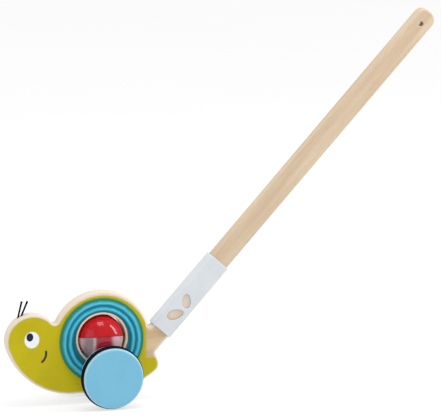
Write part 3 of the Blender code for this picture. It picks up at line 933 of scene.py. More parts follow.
@dataclass(frozen=True)
class BandedRing(Finish):
    """A turned ring: a bare rim round the window, then dark teal grooves and light blue ridges, coloured partly by
    their own two-tone paint and partly by painted shade in the grooves and a painted highlight on the ridges.
    """

    inner: float = 27.0 * MM
    outer: float = 51.0 * MM
    rim: float = 2.7 * MM
    rim_softness: float = 0.5 * MM
    rim_wood: Colour = srgb(216, 200, 188)
    # A light blue painted highlight laid along the fine tool lines.
    painted_highlight: Colour = srgb(140, 204, 216)
    wander: float = 0.45 * MM
    # Band colours by distance from the axis: the rings' own teal and blue paint, with painted shade darkening the
    # grooves and a painted highlight lightening the ridges.
    bands: tuple[tuple[float, Colour], ...] = (
        (30.0 * MM, srgb(26, 106, 116)),
        (33.9 * MM, srgb(10, 94, 110)),
        (35.6 * MM, srgb(26, 136, 160)),
        (37.3 * MM, srgb(82, 188, 210)),
        (38.8 * MM, srgb(38, 154, 180)),
        (40.8 * MM, srgb(6, 98, 124)),
        (42.4 * MM, srgb(30, 142, 168)),
        (44.1 * MM, srgb(86, 186, 208)),
        (45.6 * MM, srgb(50, 154, 170)),
        (47.4 * MM, srgb(30, 112, 112)),
        (48.6 * MM, srgb(42, 118, 82)),
        (50.2 * MM, srgb(60, 126, 66)),
    )
    specular: float = 0.18

    def dress(self, nodes: Nodes) -> dict[str, object]:
        """Look the distance from the ring's axis, with a little wander, up in the bands.

        The distance from the window's edge shows where the rim is bare. Fine circular tool lines and a stretched grain
        give the bump, and the tool lines also carry a faint painted highlight.

        Args:
            nodes: The material being written.

        Returns:
            The shader's inputs.
        """
        reach = nodes.reach()
        wander = nodes.vary(nodes.noise(110.0), -self.wander, self.wander)
        span = self.outer - self.inner
        share = nodes.math("DIVIDE", nodes.less(nodes.add(reach, wander), self.inner), span)
        colour = nodes.ramp(share, [((radius - self.inner) / span, colour) for radius, colour in self.bands])
        wood, grain = WoodGrain().colour(nodes)
        from_window = nodes.less(nodes.reach(BALL), WINDOW_RADIUS)
        bare = nodes.within(nodes.add(from_window, nodes.times(wander, 0.5)), self.rim, self.rim_softness)
        colour = nodes.mix(bare, colour, nodes.mix(0.35, self.rim_wood, wood))
        fine = nodes.node("CombineXYZ", {0: nodes.times(reach, 9.0), 1: nodes.depth}).outputs[0]
        tool_lines = nodes.noise(500.0, 2.0, where=fine)
        # Painted highlight along the tool lines, kept off the bare rim.
        lit = nodes.times(nodes.scaled(tool_lines, 0.5, 0.8, 0.0, 0.10), nodes.less(1.0, bare))
        rough = nodes.add(nodes.vary(nodes.noise(900.0), 0.34, 0.44), nodes.times(bare, 0.16))
        normal = nodes.bump(nodes.blend(tool_lines, 0.7, grain), 0.05 * MM, 0.6)
        return dict(Base_Color=nodes.mix(lit, colour, self.painted_highlight), Roughness=rough, Normal=normal,
                    Specular_IOR_Level=self.specular)


@dataclass(frozen=True)
class WheelPaint(Finish):
    """Light blue satin paint on turned wood, with a patchy painted highlight that makes it paler over the rounded rim.
    """

    paint: Colour = srgb(112, 177, 204)
    deep: Colour = srgb(109, 174, 202)
    # The rim colour is the painted highlight over the rounded rim; it is also the pale grain that shows faintly
    # through the paint.
    rim: Colour = srgb(150, 192, 208)
    rim_start: float = 32.9 * MM
    rim_fade: float = 1.6 * MM
    specular: float = 0.25

    def dress(self, nodes: Nodes) -> dict[str, object]:
        """Cloud the paint a little, let the grain show through it, and lighten it beyond the rim's start with a patchy
        painted highlight.

        Args:
            nodes: The material being written.

        Returns:
            The shader's inputs.
        """
        _, grain = WoodGrain().colour(nodes)
        colour = nodes.clouded(self.paint, self.deep, 45.0)
        colour = nodes.mix(nodes.scaled(grain, 0.45, 0.75, 0.0, 0.14), colour, self.rim)
        # Painted highlight over the rounded rim, patchy by noise.
        painted_highlight = nodes.times(nodes.step(nodes.reach(), self.rim_start, self.rim_start + self.rim_fade),
                           nodes.scaled(nodes.noise(300.0), 0.3, 0.6, 0.45, 0.95))
        speckle = nodes.noise(1100.0, 2.0)
        return dict(Base_Color=nodes.mix(painted_highlight, colour, self.rim), Roughness=nodes.vary(speckle, 0.34, 0.46),
                    Normal=nodes.bump(nodes.blend(grain, 0.5, speckle), 0.04 * MM, 0.5),
                    Specular_IOR_Level=self.specular)


@dataclass(frozen=True)
class Moulded(Finish):
    """A moulded plastic or rubber: a colour with faint clouding, and a fine surface."""

    colour: Colour
    shade: Colour
    roughness: float
    texture: float
    depth: float
    specular: float = 0.5
    coat: float = 0.0
    ior: float = 1.49

    def dress(self, nodes: Nodes) -> dict[str, object]:
        """Cloud the colour, and let one fine texture vary the roughness and the surface.

        Args:
            nodes: The material being written.

        Returns:
            The shader's inputs.
        """
        fine = nodes.noise(self.texture)
        return dict(Base_Color=nodes.clouded(self.colour, self.shade, 70.0),
                    Roughness=nodes.vary(fine, self.roughness * 0.85, self.roughness * 1.2),
                    Normal=nodes.bump(fine, self.depth, 0.5), Specular_IOR_Level=self.specular,
                    Coat_Weight=self.coat, Coat_Roughness=0.08, IOR=self.ior)


@dataclass(frozen=True)
class DrawnSteel(Finish):
    """Bright steel with fine drawing lines."""

    colour: Colour = srgb(196, 197, 200)
    dull: Colour = srgb(150, 150, 152)
    roughness: Pair = (0.20, 0.40)

    def dress(self, nodes: Nodes) -> dict[str, object]:
        """Cloud the steel, and let lines stretched along Y vary the roughness and the surface.

        Args:
            nodes: The material being written.

        Returns:
            The shader's inputs.
        """
        lines = nodes.noise(2600.0, 2.0, where=nodes.mapped(0.0, (1.0, 0.05, 1.0)))
        return dict(Base_Color=nodes.clouded(self.colour, self.dull, 240.0, low=0.4), Metallic=1.0,
                    Roughness=nodes.vary(lines, *self.roughness), Normal=nodes.bump(lines, 0.02 * MM, 0.5))


@dataclass(frozen=True)
class ClearShell(Finish):
    """Clear plastic whose colour is painted light: the red cap's glow seen through it, reddest in its middle, with
    pale painted reflections at the sides, a pale painted reflection streak beside the middle, and a grey band of
    painted shade.
    """

    # Painted light: the red cap's glow seen through in the middle, pale painted reflections at the left and right, a
    # pale painted reflection streak, and a grey band of painted shade.
    middle: Colour = srgb(206, 44, 70)
    left: Colour = srgb(236, 196, 202)
    painted_shade_grey: Colour = srgb(172, 146, 154)
    painted_reflection_streak: Colour = srgb(240, 214, 218)
    right: Colour = srgb(236, 192, 200)
    half_width: float = 25.0 * MM
    transmission: float = 0.55
    ior: float = 1.49

    def dress(self, nodes: Nodes) -> dict[str, object]:
        """Look the distance to the right of the centre up in soft bands of painted reflection, painted shade and the
        red cap seen through.

        Args:
            nodes: The material being written.

        Returns:
            The shader's inputs.
        """
        share = nodes.scaled(nodes.across, -self.half_width, self.half_width)
        # Bands of painted light across the shell: pale painted reflection, painted shade, a painted reflection streak,
        # the red seen through, and pale painted reflection.
        bands = ((0.0, self.left), (0.10, self.painted_shade_grey), (0.20, self.painted_shade_grey), (0.25, self.painted_reflection_streak), (0.31, self.middle),
                 (0.60, self.middle), (0.72, self.right), (1.0, self.right))
        fine = nodes.noise(400.0)
        return dict(Base_Color=nodes.ramp(share, bands, "EASE"), Roughness=nodes.vary(fine, 0.05, 0.09),
                    IOR=self.ior, Normal=nodes.bump(fine, 0.01 * MM, 0.5), Transmission_Weight=self.transmission)


SLEEVE_FINISH = Moulded(srgb(201, 206, 210), srgb(198, 203, 207), 0.40, 900.0, 0.03 * MM, specular=0.3)
RED_FINISH = Moulded(srgb(176, 7, 18), srgb(168, 5, 14), 0.10, 500.0, 0.01 * MM, specular=0.28)
BEAD_FINISH = Moulded(srgb(226, 176, 40), srgb(216, 160, 30), 0.25, 900.0, 0.01 * MM, coat=0.4)
RUBBER_FINISH = Moulded(srgb(5, 8, 14), srgb(2, 4, 8), 0.65, 1500.0, 0.05 * MM, specular=0.08)
NYLON_FINISH = Moulded(srgb(216, 212, 200), srgb(204, 198, 186), 0.42, 1200.0, 0.03 * MM)
FEELER_FINISH = Moulded(srgb(10, 10, 13), srgb(4, 4, 6), 0.70, 2400.0, 0.06 * MM, specular=0.0)


def settle(piece: Piece, material: Material, body: Body, slot: str, *nodes: str) -> None:
    """Give a finished piece its material and its body, and hide the frame nodes that it stands for.

    Args:
        piece: The piece.
        material: Its finish.
        body: The body that it moves with.
        slot: The record's material slot; not used.
        *nodes: The frame nodes that it stands for.
    """
    piece.data.materials.clear()
    piece.data.materials.append(material)
    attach(piece, body.value)
    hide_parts(*nodes)
    log.info("%s: %d faces, rides on %s", piece.name, len(piece.data.polygons), body.value)


# ---------------------------------------------------------------------------------------------------------------
# Sub-assemblies


@dataclass
class SnailBoard:
    """The flat wooden snail with its window and its tenon neck."""

    shell_radius: float = 57.5 * MM
    head: Pair = (-81.98 * MM, 4.5 * MM)
    head_radius: float = 31.0 * MM
    valley_fillet: float = 4.0 * MM
    belly_level: float = -61.5 * MM
    belly_front_radius: float = 82.0 * MM
    belly_rear_radius: float = 99.0 * MM
    tail: Pair = (57.54 * MM, -31.5 * MM)
    tail_radius: float = 11.5 * MM
    neck_root: float = 30.0 * MM
    neck_fillet: float = 3.0 * MM
    tenon_end: float = 112.64 * MM
    tenon_fillet: float = 3.5 * MM
    rounding: float = 3.0 * MM
    window_rounding: float = 0.2 * MM
    margin: float = 4.0 * MM
    margin_fade: float = 20.0 * MM
    margin_loss: float = 0.9
    finish: PaintedBoard = PaintedBoard()

    def on_axis(self, along: float, across: float) -> Array:
        """A point of the board's plane given along the stick's axis and across it."""
        return along * ALONG[[0, 2]] + (across - STICK_OFFSET) * ACROSS[[0, 2]]

    def belly(self, radius: float, near: Pair, near_radius: float, way: int) -> Array:
        """The centre of a belly arc that rests on the belly's level and touches a smaller circle inside.

        The distance between the two centres is the difference of their radii.

        Args:
            radius: The belly arc's radius.
            near: The smaller circle's centre.
            near_radius: The smaller circle's radius.
            way: 1 if the arc's centre lies towards +X of the smaller circle, -1 if not.

        Returns:
            The arc's centre.
        """
        height = self.belly_level + radius
        reach = math.sqrt((radius - near_radius) ** 2 - (height - near[1]) ** 2)
        return np.array([near[0] + way * reach, height])

    def valley(self) -> Array:
        """The centre of the small arc between shell and head, at its own radius from both of their edges."""
        first, second = self.shell_radius + self.valley_fillet, self.head_radius + self.valley_fillet
        distance = float(np.linalg.norm(self.head))
        foot = (first**2 - second**2 + distance**2) / (2 * distance)
        unit = np.array(self.head) / distance
        return unit * foot + np.array([unit[1], -unit[0]]) * math.sqrt(first**2 - foot**2)

    def tenon(self, start: Array) -> tuple[Array, Array, Array]:
        """The neck's lower edge, the tenon's end and the fillet where its upper edge meets the shell.

        Args:
            start: The last point of the tail.

        Returns:
            The tenon's outline, the fillet's points, and the fillet's centre.
        """
        half = STICK_WIDTH / 2
        across = half + self.neck_fillet
        along = math.sqrt((self.shell_radius + self.neck_fillet) ** 2 - (STICK_OFFSET - across) ** 2)
        centre = self.on_axis(along, across)
        corners = [start, self.on_axis(self.neck_root, -half), self.on_axis(self.tenon_end, -half),
                   self.on_axis(self.tenon_end, half), self.on_axis(along, half)]
        outline = rounded(corners, [0, self.neck_fillet, self.tenon_fillet, self.tenon_fillet, 0])[1:-1]
        fillet = arc(centre, self.neck_fillet, STICK_ANGLE + 3 * QUARTER, angle_to(centre, (0, 0)))
        return outline, fillet, centre

    def outline(self) -> Array:
        """The whole outline, anticlockwise: belly, tail, tenon, shell, valley and head, each an arc or a line."""
        zero = (0.0, 0.0)
        front = self.belly(self.belly_front_radius, self.head, self.head_radius, 1)
        rear = self.belly(self.belly_rear_radius, self.tail, self.tail_radius, -1)
        corner = self.on_axis(self.neck_root, -STICK_WIDTH / 2)
        reach = float(np.linalg.norm(corner - np.array(self.tail)))
        tangent = angle_to(self.tail, corner) - math.acos(self.tail_radius / reach)
        tail = arc(self.tail, self.tail_radius, angle_to(rear, self.tail) - TURN, tangent)[1:]
        tenon, fillet, neck = self.tenon(tail[-1])
        valley = self.valley()
        return spaced(np.concatenate([
            arc(front, self.belly_front_radius, angle_to(front, self.head), 3 * QUARTER, 1.5),
            arc(rear, self.belly_rear_radius, 3 * QUARTER, angle_to(rear, self.tail), 1.5),
            tail,
            tenon,
            fillet[:-1],
            arc(zero, self.shell_radius, angle_to(zero, neck), angle_to(zero, valley)),
            arc(valley, self.valley_fillet, angle_to(valley, zero), angle_to(valley, self.head))[1:-1],
            arc(self.head, self.head_radius, angle_to(self.head, valley), angle_to(front, self.head))[:-1],
        ]), 3.0 * MM)

    def build(self) -> None:
        """Make the board. Its rows across the faces stop short in the sleeve, where the tenon's corners are tight."""
        outline = self.outline()
        in_sleeve = np.clip((outline @ ALONG[[0, 2]] - SLEEVE_START) / self.margin_fade, 0.0, 1.0)
        window = arc((0, WINDOW_RISE), WINDOW_RADIUS, TURN, 0.0)[:-1]
        margin = self.margin * (1.0 - self.margin_loss * in_sleeve)
        board = plate("snail_board", BOARD_PLANE,
                      [Loop(outline, self.rounding, margin), Loop(window, self.window_rounding)])
        mark_edge_distance(board, BOARD_PLANE, outline)
        settle(board, self.finish.material("olive_board", SHELL), Body.SNAIL, "painted_board", "body_board")


@dataclass
class ShellRings:
    """The turned ring on each face of the board, with the ball's window cut through it a little off its centre."""

    chamfer_width: float = 2.6 * MM
    chamfer_foot: float = 0.8 * MM
    grooves: tuple[float, float, float] = (33.7 * MM, 40.7 * MM, 47.4 * MM)
    outer: float = 50.0 * MM
    lip: float = 0.9 * MM
    land: float = 1.6 * MM
    rim_rise: float = 0.4 * MM
    rim_ease: float = 1.6 * MM
    ridge: float = 1.4 * MM
    ridge_power: float = 1.4
    segments: int = 192
    finish: BandedRing = BandedRing()

    def turned_height(self, reach: Array) -> Array:
        """The height of the turned face at a distance from the ring's axis.

        Inside the first groove the face rises softly towards the rim. Between two grooves a ridge stands up by a
        power of the sine of the way across. The outer lip falls by a quarter circle.

        Args:
            reach: Distances from the axis.

        Returns:
            Heights above the board.
        """
        rim = np.clip((self.grooves[0] - reach) / self.rim_ease, 0.0, 1.0)
        height = self.land + self.rim_rise * rim * rim * (3.0 - 2.0 * rim)
        for start, end in zip(self.grooves, self.grooves[1:]):
            across = np.clip((reach - start) / (end - start), 0.0, 1.0)
            height = height + self.ridge * np.sin(math.pi * across) ** self.ridge_power
        past = np.clip((reach - self.outer) / self.lip + 1.0, 0.0, 1.0)
        return height - self.lip * (1.0 - np.sqrt(1.0 - past * past))

    def surface(self, side: Side) -> Array:
        """The ring's rows of points, from the board out over the window's edge to the outer edge.

        The window's edge lies at the rise times the sine of the angle, plus the root of the window's radius squared
        less the rise times the cosine squared. Rows are spread from there to the first groove, and by distance from
        the ring's axis beyond it. A point's height is the lower of the turned face and the window's chamfer, which
        rises by the sine of the way across it.

        Args:
            side: The face of the board that the ring lies on.

        Returns:
            Rows, columns and three coordinates.
        """
        angles = np.linspace(0, TURN, self.segments, endpoint=False)[None]
        edge = WINDOW_RISE * np.sin(angles) + np.sqrt(WINDOW_RADIUS**2 - (WINDOW_RISE * np.cos(angles)) ** 2)
        rim = edge + (self.grooves[0] - edge) * np.linspace(0.0, 1.0, 13)[:, None]
        lip_start = self.outer - self.lip
        outer_rows = np.concatenate([np.linspace(self.grooves[0], lip_start, 49)[1:],
                                     lip_start + self.lip * np.sin(np.linspace(0.1, 1.0, 8) * QUARTER)])
        reach = np.concatenate([rim, np.broadcast_to(outer_rows[:, None], (len(outer_rows), self.segments))])
        flat = np.stack([reach * np.cos(angles), reach * np.sin(angles)], axis=-1)
        from_window = np.linalg.norm(flat - np.array([0.0, WINDOW_RISE]), axis=-1) - WINDOW_RADIUS
        share = np.clip(from_window / self.chamfer_width, 0.0, 1.0)
        full = self.land + self.rim_rise + self.ridge
        chamfer = self.chamfer_foot + (full - self.chamfer_foot) * np.sin(share * QUARTER)
        height = np.minimum(self.turned_height(reach), np.where(share < 1.0, chamfer, np.inf))
        flat = np.concatenate([flat[:1], flat, flat[-1:]])
        return BOARD_PLANE.place(flat, side.value * (WOOD_THICKNESS / 2 + np.pad(height, ((1, 1), (0, 0)))))

    def build(self) -> None:
        """Make both rings."""
        material = self.finish.material("banded_ring", SHELL)
        for side in Side:
            name = f"shell_ring_{side.name.lower()}"
            ring = Shape().grid(self.surface(side), wrap_rows=True).build("turned_" + name)
            settle(ring, material, Body.SNAIL, "painted_ring", name)


@dataclass
class RattleBall:
    """The ball: a red cap, a clear cap, its pin and its beads."""

    radius: float = 27.0 * MM
    wall: float = 2.0 * MM
    turn: float = math.radians(-12.0)
    seam: float = 0.12 * MM
    lip: float = 0.35 * MM
    pin_radius: float = 1.5 * MM
    pin_ease: float = 0.3 * MM
    pin_crown: float = 0.03 * MM
    bead_bore: float = 0.6 * MM
    beads: int = 5

    def cap(self, name: str, up: int) -> Piece:
        """One cap: an outer and an inner quarter circle joined by a softly rounded lip at the seam.

        The section is turned about an upright axis that is itself tipped about the pin.

        Args:
            name: The piece's name.
            up: 1 for the upper cap, -1 for the lower.

        Returns:
            The piece.
        """
        inner = self.radius - self.wall
        low = math.asin((self.seam + self.lip) / self.radius)
        outside = arc((0, 0), self.radius, QUARTER, low, 1.5)
        lip = arc((self.radius - self.lip, self.seam + self.lip), self.lip, 0.0, -QUARTER, 15.0)
        inside = arc((0, 0), inner, math.asin(self.seam / inner), QUARTER, 1.5)
        profile = np.concatenate([outside, lip[1:], inside])
        profile[[0, -1], 0] = 0.0
        cosine, sine = math.cos(self.turn), math.sin(self.turn)
        tipped = Plane(BALL, LENGTH, np.array([0.0, cosine, sine]), up * np.array([0.0, -sine, cosine]))
        return turned(name, tipped, profile, 160)

    def bead(self, index: int) -> Piece:
        """One bead: a sphere with a narrow bore, its section a circle cut off at the bore's radius.

        Args:
            index: The bead's number.

        Returns:
            The piece.
        """
        radius = float(extent(f"bead_{index}")[2]) / 2
        reach = math.acos(self.bead_bore / radius)
        plane = facing(middle(f"bead_{index}"), Side.NEAR if index % 2 else Side.FAR)
        return turned(f"rattle_bead_{index}", plane, arc((0, 0), radius, reach, -reach, 8.0), 40, closed=True)

    def build(self) -> None:
        """Make the ball, its pin and its beads."""
        red = RED_FINISH.material("red_plastic", BALL)
        clear = ClearShell().material("clear_plastic", BALL)
        settle(self.cap("red_cap", 1), red, Body.BALL, "red_cap", "ball_upper_cap")
        settle(self.cap("clear_cap", -1), clear, Body.BALL, "clear_cap", "ball_lower_cap")
        half = float(extent("ball_pin")[0]) / 2
        pin = rod("steel_ball_pin", Plane(BALL, HEIGHT, DEPTH, LENGTH), self.pin_radius, half, self.pin_ease,
                  self.pin_crown, 24)
        settle(pin, DrawnSteel().material("pin_steel", BALL), Body.SNAIL, "steel", "ball_pin")
        material = BEAD_FINISH.material("bead_plastic", BALL)
        for index in range(1, self.beads + 1):
            settle(self.bead(index), material, Body.BALL, "bead", f"bead_{index}")


@dataclass
class WheelSet:
    """The axle, its bushes and spacers, and the two wheels with their rubber rings."""

    radius: float = 35.3 * MM
    rounding: float = 3.0 * MM
    tyre_half_height: float = 2.3 * MM
    tyre_half_width: float = 5.5 * MM
    tyre_stand_out: float = 1.7 * MM
    groove_ease: float = 0.1 * MM
    flash: float = 0.05 * MM
    flash_width: float = 0.12
    bore: float = 3.1 * MM
    bore_depth: float = 12.0 * MM
    bore_ease: float = 0.4 * MM
    collar_bore: float = 3.3 * MM
    collar_ease: float = 0.3 * MM
    flange: float = 1.0 * MM
    flange_reach: float = 1.6 * MM
    axle_ease: float = 0.5 * MM
    grain_turn: float = 0.3
    finish: WheelPaint = WheelPaint()

    @property
    def ring(self) -> float:
        """The radius of the circle along which the tyre's section is carried."""
        return self.radius + self.tyre_stand_out - self.tyre_half_height

    def wheel_profile(self, inner: float, outer: float) -> Array:
        """A wheel's section from its outer face to its blind bore.

        Two rounded edges with the tyre's oval groove halfway between them: a circle stretched along the axle.

        Args:
            inner: The height of the face towards the board.
            outer: The height of the outer face.

        Returns:
            Rows of (radius, height).
        """
        corner = self.radius - self.rounding
        oval = np.array([self.tyre_half_height, self.tyre_half_width]) + self.groove_ease
        opening = math.acos((self.radius - self.ring) / oval[0])
        groove = arc((0.0, 0.0), 1.0, opening, TURN - opening, 12.0) * oval
        back = self.rounding / 2
        face = np.linspace(0.0, corner, 12)[:-1]
        end = inner + self.bore_depth
        return np.concatenate([
            np.stack([face, np.full(len(face), outer)], axis=1),
            arc((corner, outer - self.rounding), self.rounding, QUARTER, 0.0, 6.0),
            groove + np.array([self.ring, (inner + outer) / 2]),
            arc((self.radius - back, inner + back), back, 0.0, -QUARTER, 10.0),
            np.array([[self.bore + self.bore_ease, inner], [self.bore, inner + self.bore_ease],
                      [self.bore, end], [0.0, end]]),
        ])

    def tyre_profile(self, height: float) -> Array:
        """The rubber ring's oval section, with a faint moulding line round its crown.

        Args:
            height: The height of the ring's middle.

        Returns:
            Rows of (radius, height).
        """
        angles = np.linspace(0, TURN, 36, endpoint=False)[::-1]
        line = self.flash * np.exp(-((np.minimum(angles, TURN - angles) / self.flash_width) ** 2))
        section = self.tyre_half_height - self.flash + line
        return np.stack([self.ring + section * np.cos(angles), height + self.tyre_half_width * np.sin(angles)], axis=1)

    def collar(self, name: str, node: str, side: Side, material: Material, body: Body) -> None:
        """A tube on the axle with chamfered ends, as long and as wide as its frame node. A bush has a flange.

        Args:
            name: The piece's name.
            node: The frame node.
            side: The side that it lies on.
            material: Its finish.
            body: The body that it moves with.
        """
        low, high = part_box(node)
        start, end = sorted((abs(low[1]), abs(high[1])))
        inner, outer, ease = self.collar_bore, float(extent(node)[0]) / 2, self.collar_ease
        profile = [[inner, start + ease], [inner + ease, start], [outer - ease, start], [outer, start + ease],
                   [outer, end - ease], [outer - ease, end], [inner + ease, end], [inner, end - ease]]
        if body is Body.SNAIL:
            shank, step = outer - self.flange_reach, end - self.flange
            profile[2:4] = [[shank - ease, start], [shank, start + ease], [shank, step],
                            [outer - ease, step], [outer, step + ease / 2]]
        piece = turned(name, facing(AXLE, side), np.array(profile), 72, closed=True)
        settle(piece, material, body, "nylon", node)

    def build(self) -> None:
        """Make the wheels, tyres, axle, bushes and spacers."""
        paint = self.finish.material("blue_wheel_paint", AXLE, self.grain_turn)
        rubber = RUBBER_FINISH.material("black_rubber", AXLE)
        nylon = NYLON_FINISH.material("natural_nylon", AXLE)
        for side in Side:
            label, plane = side.name.lower(), facing(AXLE, side)
            low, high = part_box(f"wheel_{label}")
            inner, outer = sorted((abs(low[1]), abs(high[1])))
            wheel = turned(f"painted_wheel_{label}", plane, self.wheel_profile(inner, outer), 192)
            settle(wheel, paint, Body.WHEELS, "painted_wheel", f"wheel_{label}")
            tyre = turned(f"rubber_ring_{label}", plane, self.tyre_profile((inner + outer) / 2), 192, closed=True)
            settle(tyre, rubber, Body.WHEELS, "rubber_ring", f"tyre_{label}")
            self.collar(f"spacer_tube_{label}", f"axle_spacer_{label}", side, nylon, Body.WHEELS)
            self.collar(f"flanged_bush_{label}", f"axle_bush_{label}", side, nylon, Body.SNAIL)
        width, length, _ = (float(size) for size in extent("axle"))
        axle = rod("steel_axle", facing(AXLE, Side.FAR), width / 2, length / 2, self.axle_ease, 0.0, 64)
        settle(axle, DrawnSteel().material("axle_steel", AXLE), Body.WHEELS, "steel", "axle")


@dataclass
class StickParts:
    """The push stick, the sleeve that holds it, and the sleeve's two screws."""

    start: float = 112.94 * MM
    end: float = 533.3 * MM
    end_rounding: float = 10.0 * MM
    rounding: float = 2.0 * MM
    hang_hole: float = 2.8 * MM
    hang_hole_rounding: float = 0.5 * MM
    hang_hole_from_end: float = 17.3 * MM
    sleeve_end: float = 156.94 * MM
    sleeve_wall: float = 1.5 * MM
    sleeve_corner: float = 2.5 * MM
    fit: float = 0.3 * MM
    windows: tuple[tuple[float, float, float, float], ...] = (
        (77.54 * MM, 20.2 * MM, 13.2 * MM, math.radians(-35.6)),
        (97.54 * MM, 17.1 * MM, 11.6 * MM, math.radians(42.2)),
    )
    window_flare: float = 0.55 * MM
    leaf_taper: float = 0.22
    screw_head: float = 2.9 * MM
    screw_shank: float = 1.5 * MM
    screw_length: float = 13.0 * MM
    screw_inset: float = 16.0 * MM
    slot_width: float = 0.6 * MM
    slot_length: float = 6.4 * MM
    thread_depth: float = 0.18 * MM
    thread_pitch: float = 0.9 * MM
    wood: BareWood = BareWood()

    def stick(self) -> None:
        """Make the stick: a plate with rounded edges, a rounded end and an eased hanging hole."""
        half = STICK_WIDTH / 2
        corners = [(self.start, -half), (self.end, -half), (self.end, half), (self.start, half)]
        outline = rounded(corners, [self.rounding, self.end_rounding, self.end_rounding, self.rounding])
        hole = arc((self.end - self.hang_hole_from_end, 0.0), self.hang_hole, TURN, 0.0, 7.5)[:-1]
        stick = plate("wooden_stick", STICK_PLANE,
                      [Loop(spaced(outline, 12.0 * MM), self.rounding), Loop(hole, self.hang_hole_rounding)])
        material = self.wood.material("stick_beech", STICK_FOOT, STICK_ANGLE)
        settle(stick, material, Body.SNAIL, "bare_wood", "push_stick")

    def tube(self) -> Piece:
        """The sleeve's tube: rounded rectangles along it, outside and then back inside, with rounded end rims."""
        width, depth = STICK_WIDTH + 2 * self.fit, WOOD_THICKNESS + 2 * self.fit
        corner = self.sleeve_corner - self.sleeve_wall
        ease = self.sleeve_wall / 2
        angles = np.linspace(0.0, math.pi, 9)
        grow, reach = ease * (1 + np.cos(angles)), ease * np.sin(angles)
        along = np.concatenate([self.sleeve_end - ease + reach, SLEEVE_START + ease - reach[::-1]])
        sections = np.stack([rectangle(width + 2 * grown, depth + 2 * grown, corner + grown)
                             for grown in np.concatenate([grow, grow[::-1]])])
        points = Plane(STICK_FOOT, ACROSS, DEPTH, ALONG).place(sections, along[:, None])
        return Shape().grid(points, wrap_rows=True).build("white_sleeve")

    def leaf(self, length: float, width: float) -> Array:
        """A leaf outline: its half width follows a sine, fuller towards the stalk, along a cosine-spaced length.

        Args:
            length: From stalk to tip.
            width: The widest part.

        Returns:
            The outline's points, anticlockwise.
        """
        turn = np.linspace(0.0, math.pi, 49)
        reach = -np.cos(turn) * length / 2
        swell = np.sin(turn) * (1.0 - self.leaf_taper * (1.0 - np.cos(turn)) / 2) * width / 2
        return np.concatenate([np.stack([reach, -swell], axis=1), np.stack([reach, swell], axis=1)[-2:0:-1]])

    def window_cutter(self, along: float, length: float, width: float, turn: float) -> Piece:
        """A leaf-shaped plug that widens by a quarter round at the sleeve's near face.

        Args:
            along: The leaf's centre along the stick's axis.
            length: The leaf's length.
            width: The leaf's width.
            turn: Its turn from the sleeve's direction.

        Returns:
            The plug.
        """
        cosine, sine = math.cos(turn), math.sin(turn)
        leaf = self.leaf(length, width) @ np.array([[cosine, sine], [-sine, cosine]])
        face = WOOD_THICKNESS / 2 + self.fit + self.sleeve_wall
        angles = np.linspace(0.0, QUARTER, 7)
        grown = np.concatenate([[self.window_flare], self.window_flare * (1 - np.sin(angles)), [0.0]])
        depth = np.concatenate([[-face - MM], self.window_flare * (1 - np.cos(angles)) - face,
                                [MM - WOOD_THICKNESS / 2]])
        flat = leaf + outward(leaf) * grown[:, None, None] + np.array([along, 0.0])
        return plug("leaf_plug", STICK_PLANE.place(flat, depth[:, None]))

    def sleeve(self) -> None:
        """Make the sleeve with its two leaf windows."""
        sleeve = self.tube()
        for window in self.windows:
            cut(sleeve, self.window_cutter(*window))
        flatten(sleeve, [DEPTH, ACROSS])
        material = SLEEVE_FINISH.material("white_sleeve_satin", STICK_FOOT)
        settle(sleeve, material, Body.SNAIL, "white_sleeve", "handle_sleeve")

    def screw_profile(self) -> Array:
        """A screw's section: a countersunk head, a shank that follows a cosine along its thread, and a tip.

        Returns:
            Rows of (radius, depth).
        """
        head, shank, length = self.screw_head, self.screw_shank, self.screw_length
        run = np.linspace(self.sleeve_wall + 0.5 * MM, length - 1.2 * MM, 61)
        thread = shank - self.thread_depth * (1 + np.cos(run / self.thread_pitch * TURN)) / 2
        return np.concatenate([
            np.array([[0.0, 0.1 * MM], [head - 0.2 * MM, 0.1 * MM], [head, 0.25 * MM], [head, 0.35 * MM],
                      [shank, self.sleeve_wall]]),
            np.stack([thread, run], axis=1),
            np.array([[0.3 * MM, length - 0.1 * MM], [0.0, length]]),
        ])

    def screws(self) -> None:
        """Make the two countersunk screws, each turned and then cut by a driver slot."""
        steel = DrawnSteel().material("screw_steel", STICK_FOOT)
        face = STICK_FOOT - ACROSS * (STICK_WIDTH / 2 + self.fit + self.sleeve_wall)
        slab = np.broadcast_to(rectangle(self.slot_length, self.slot_width, 0), (2, 4, 2))
        levels = np.array([[-0.5 * MM], [self.slot_width + 0.05 * MM]])
        places = {"lower": self.start - self.fit - self.screw_inset, "upper": self.start + self.screw_inset}
        for label, along in places.items():
            plane = Plane(face + ALONG * along, ALONG, DEPTH, ACROSS)
            screw = turned(f"countersunk_screw_{label}", plane, self.screw_profile(), 48)
            cut(screw, plug("slot_plug", plane.place(slab, levels)))
            settle(screw, steel, Body.SNAIL, "steel", f"sleeve_screw_{label}")

    def build(self) -> None:
        """Make the stick, the sleeve and the screws."""
        self.stick()
        self.sleeve()
        self.screws()


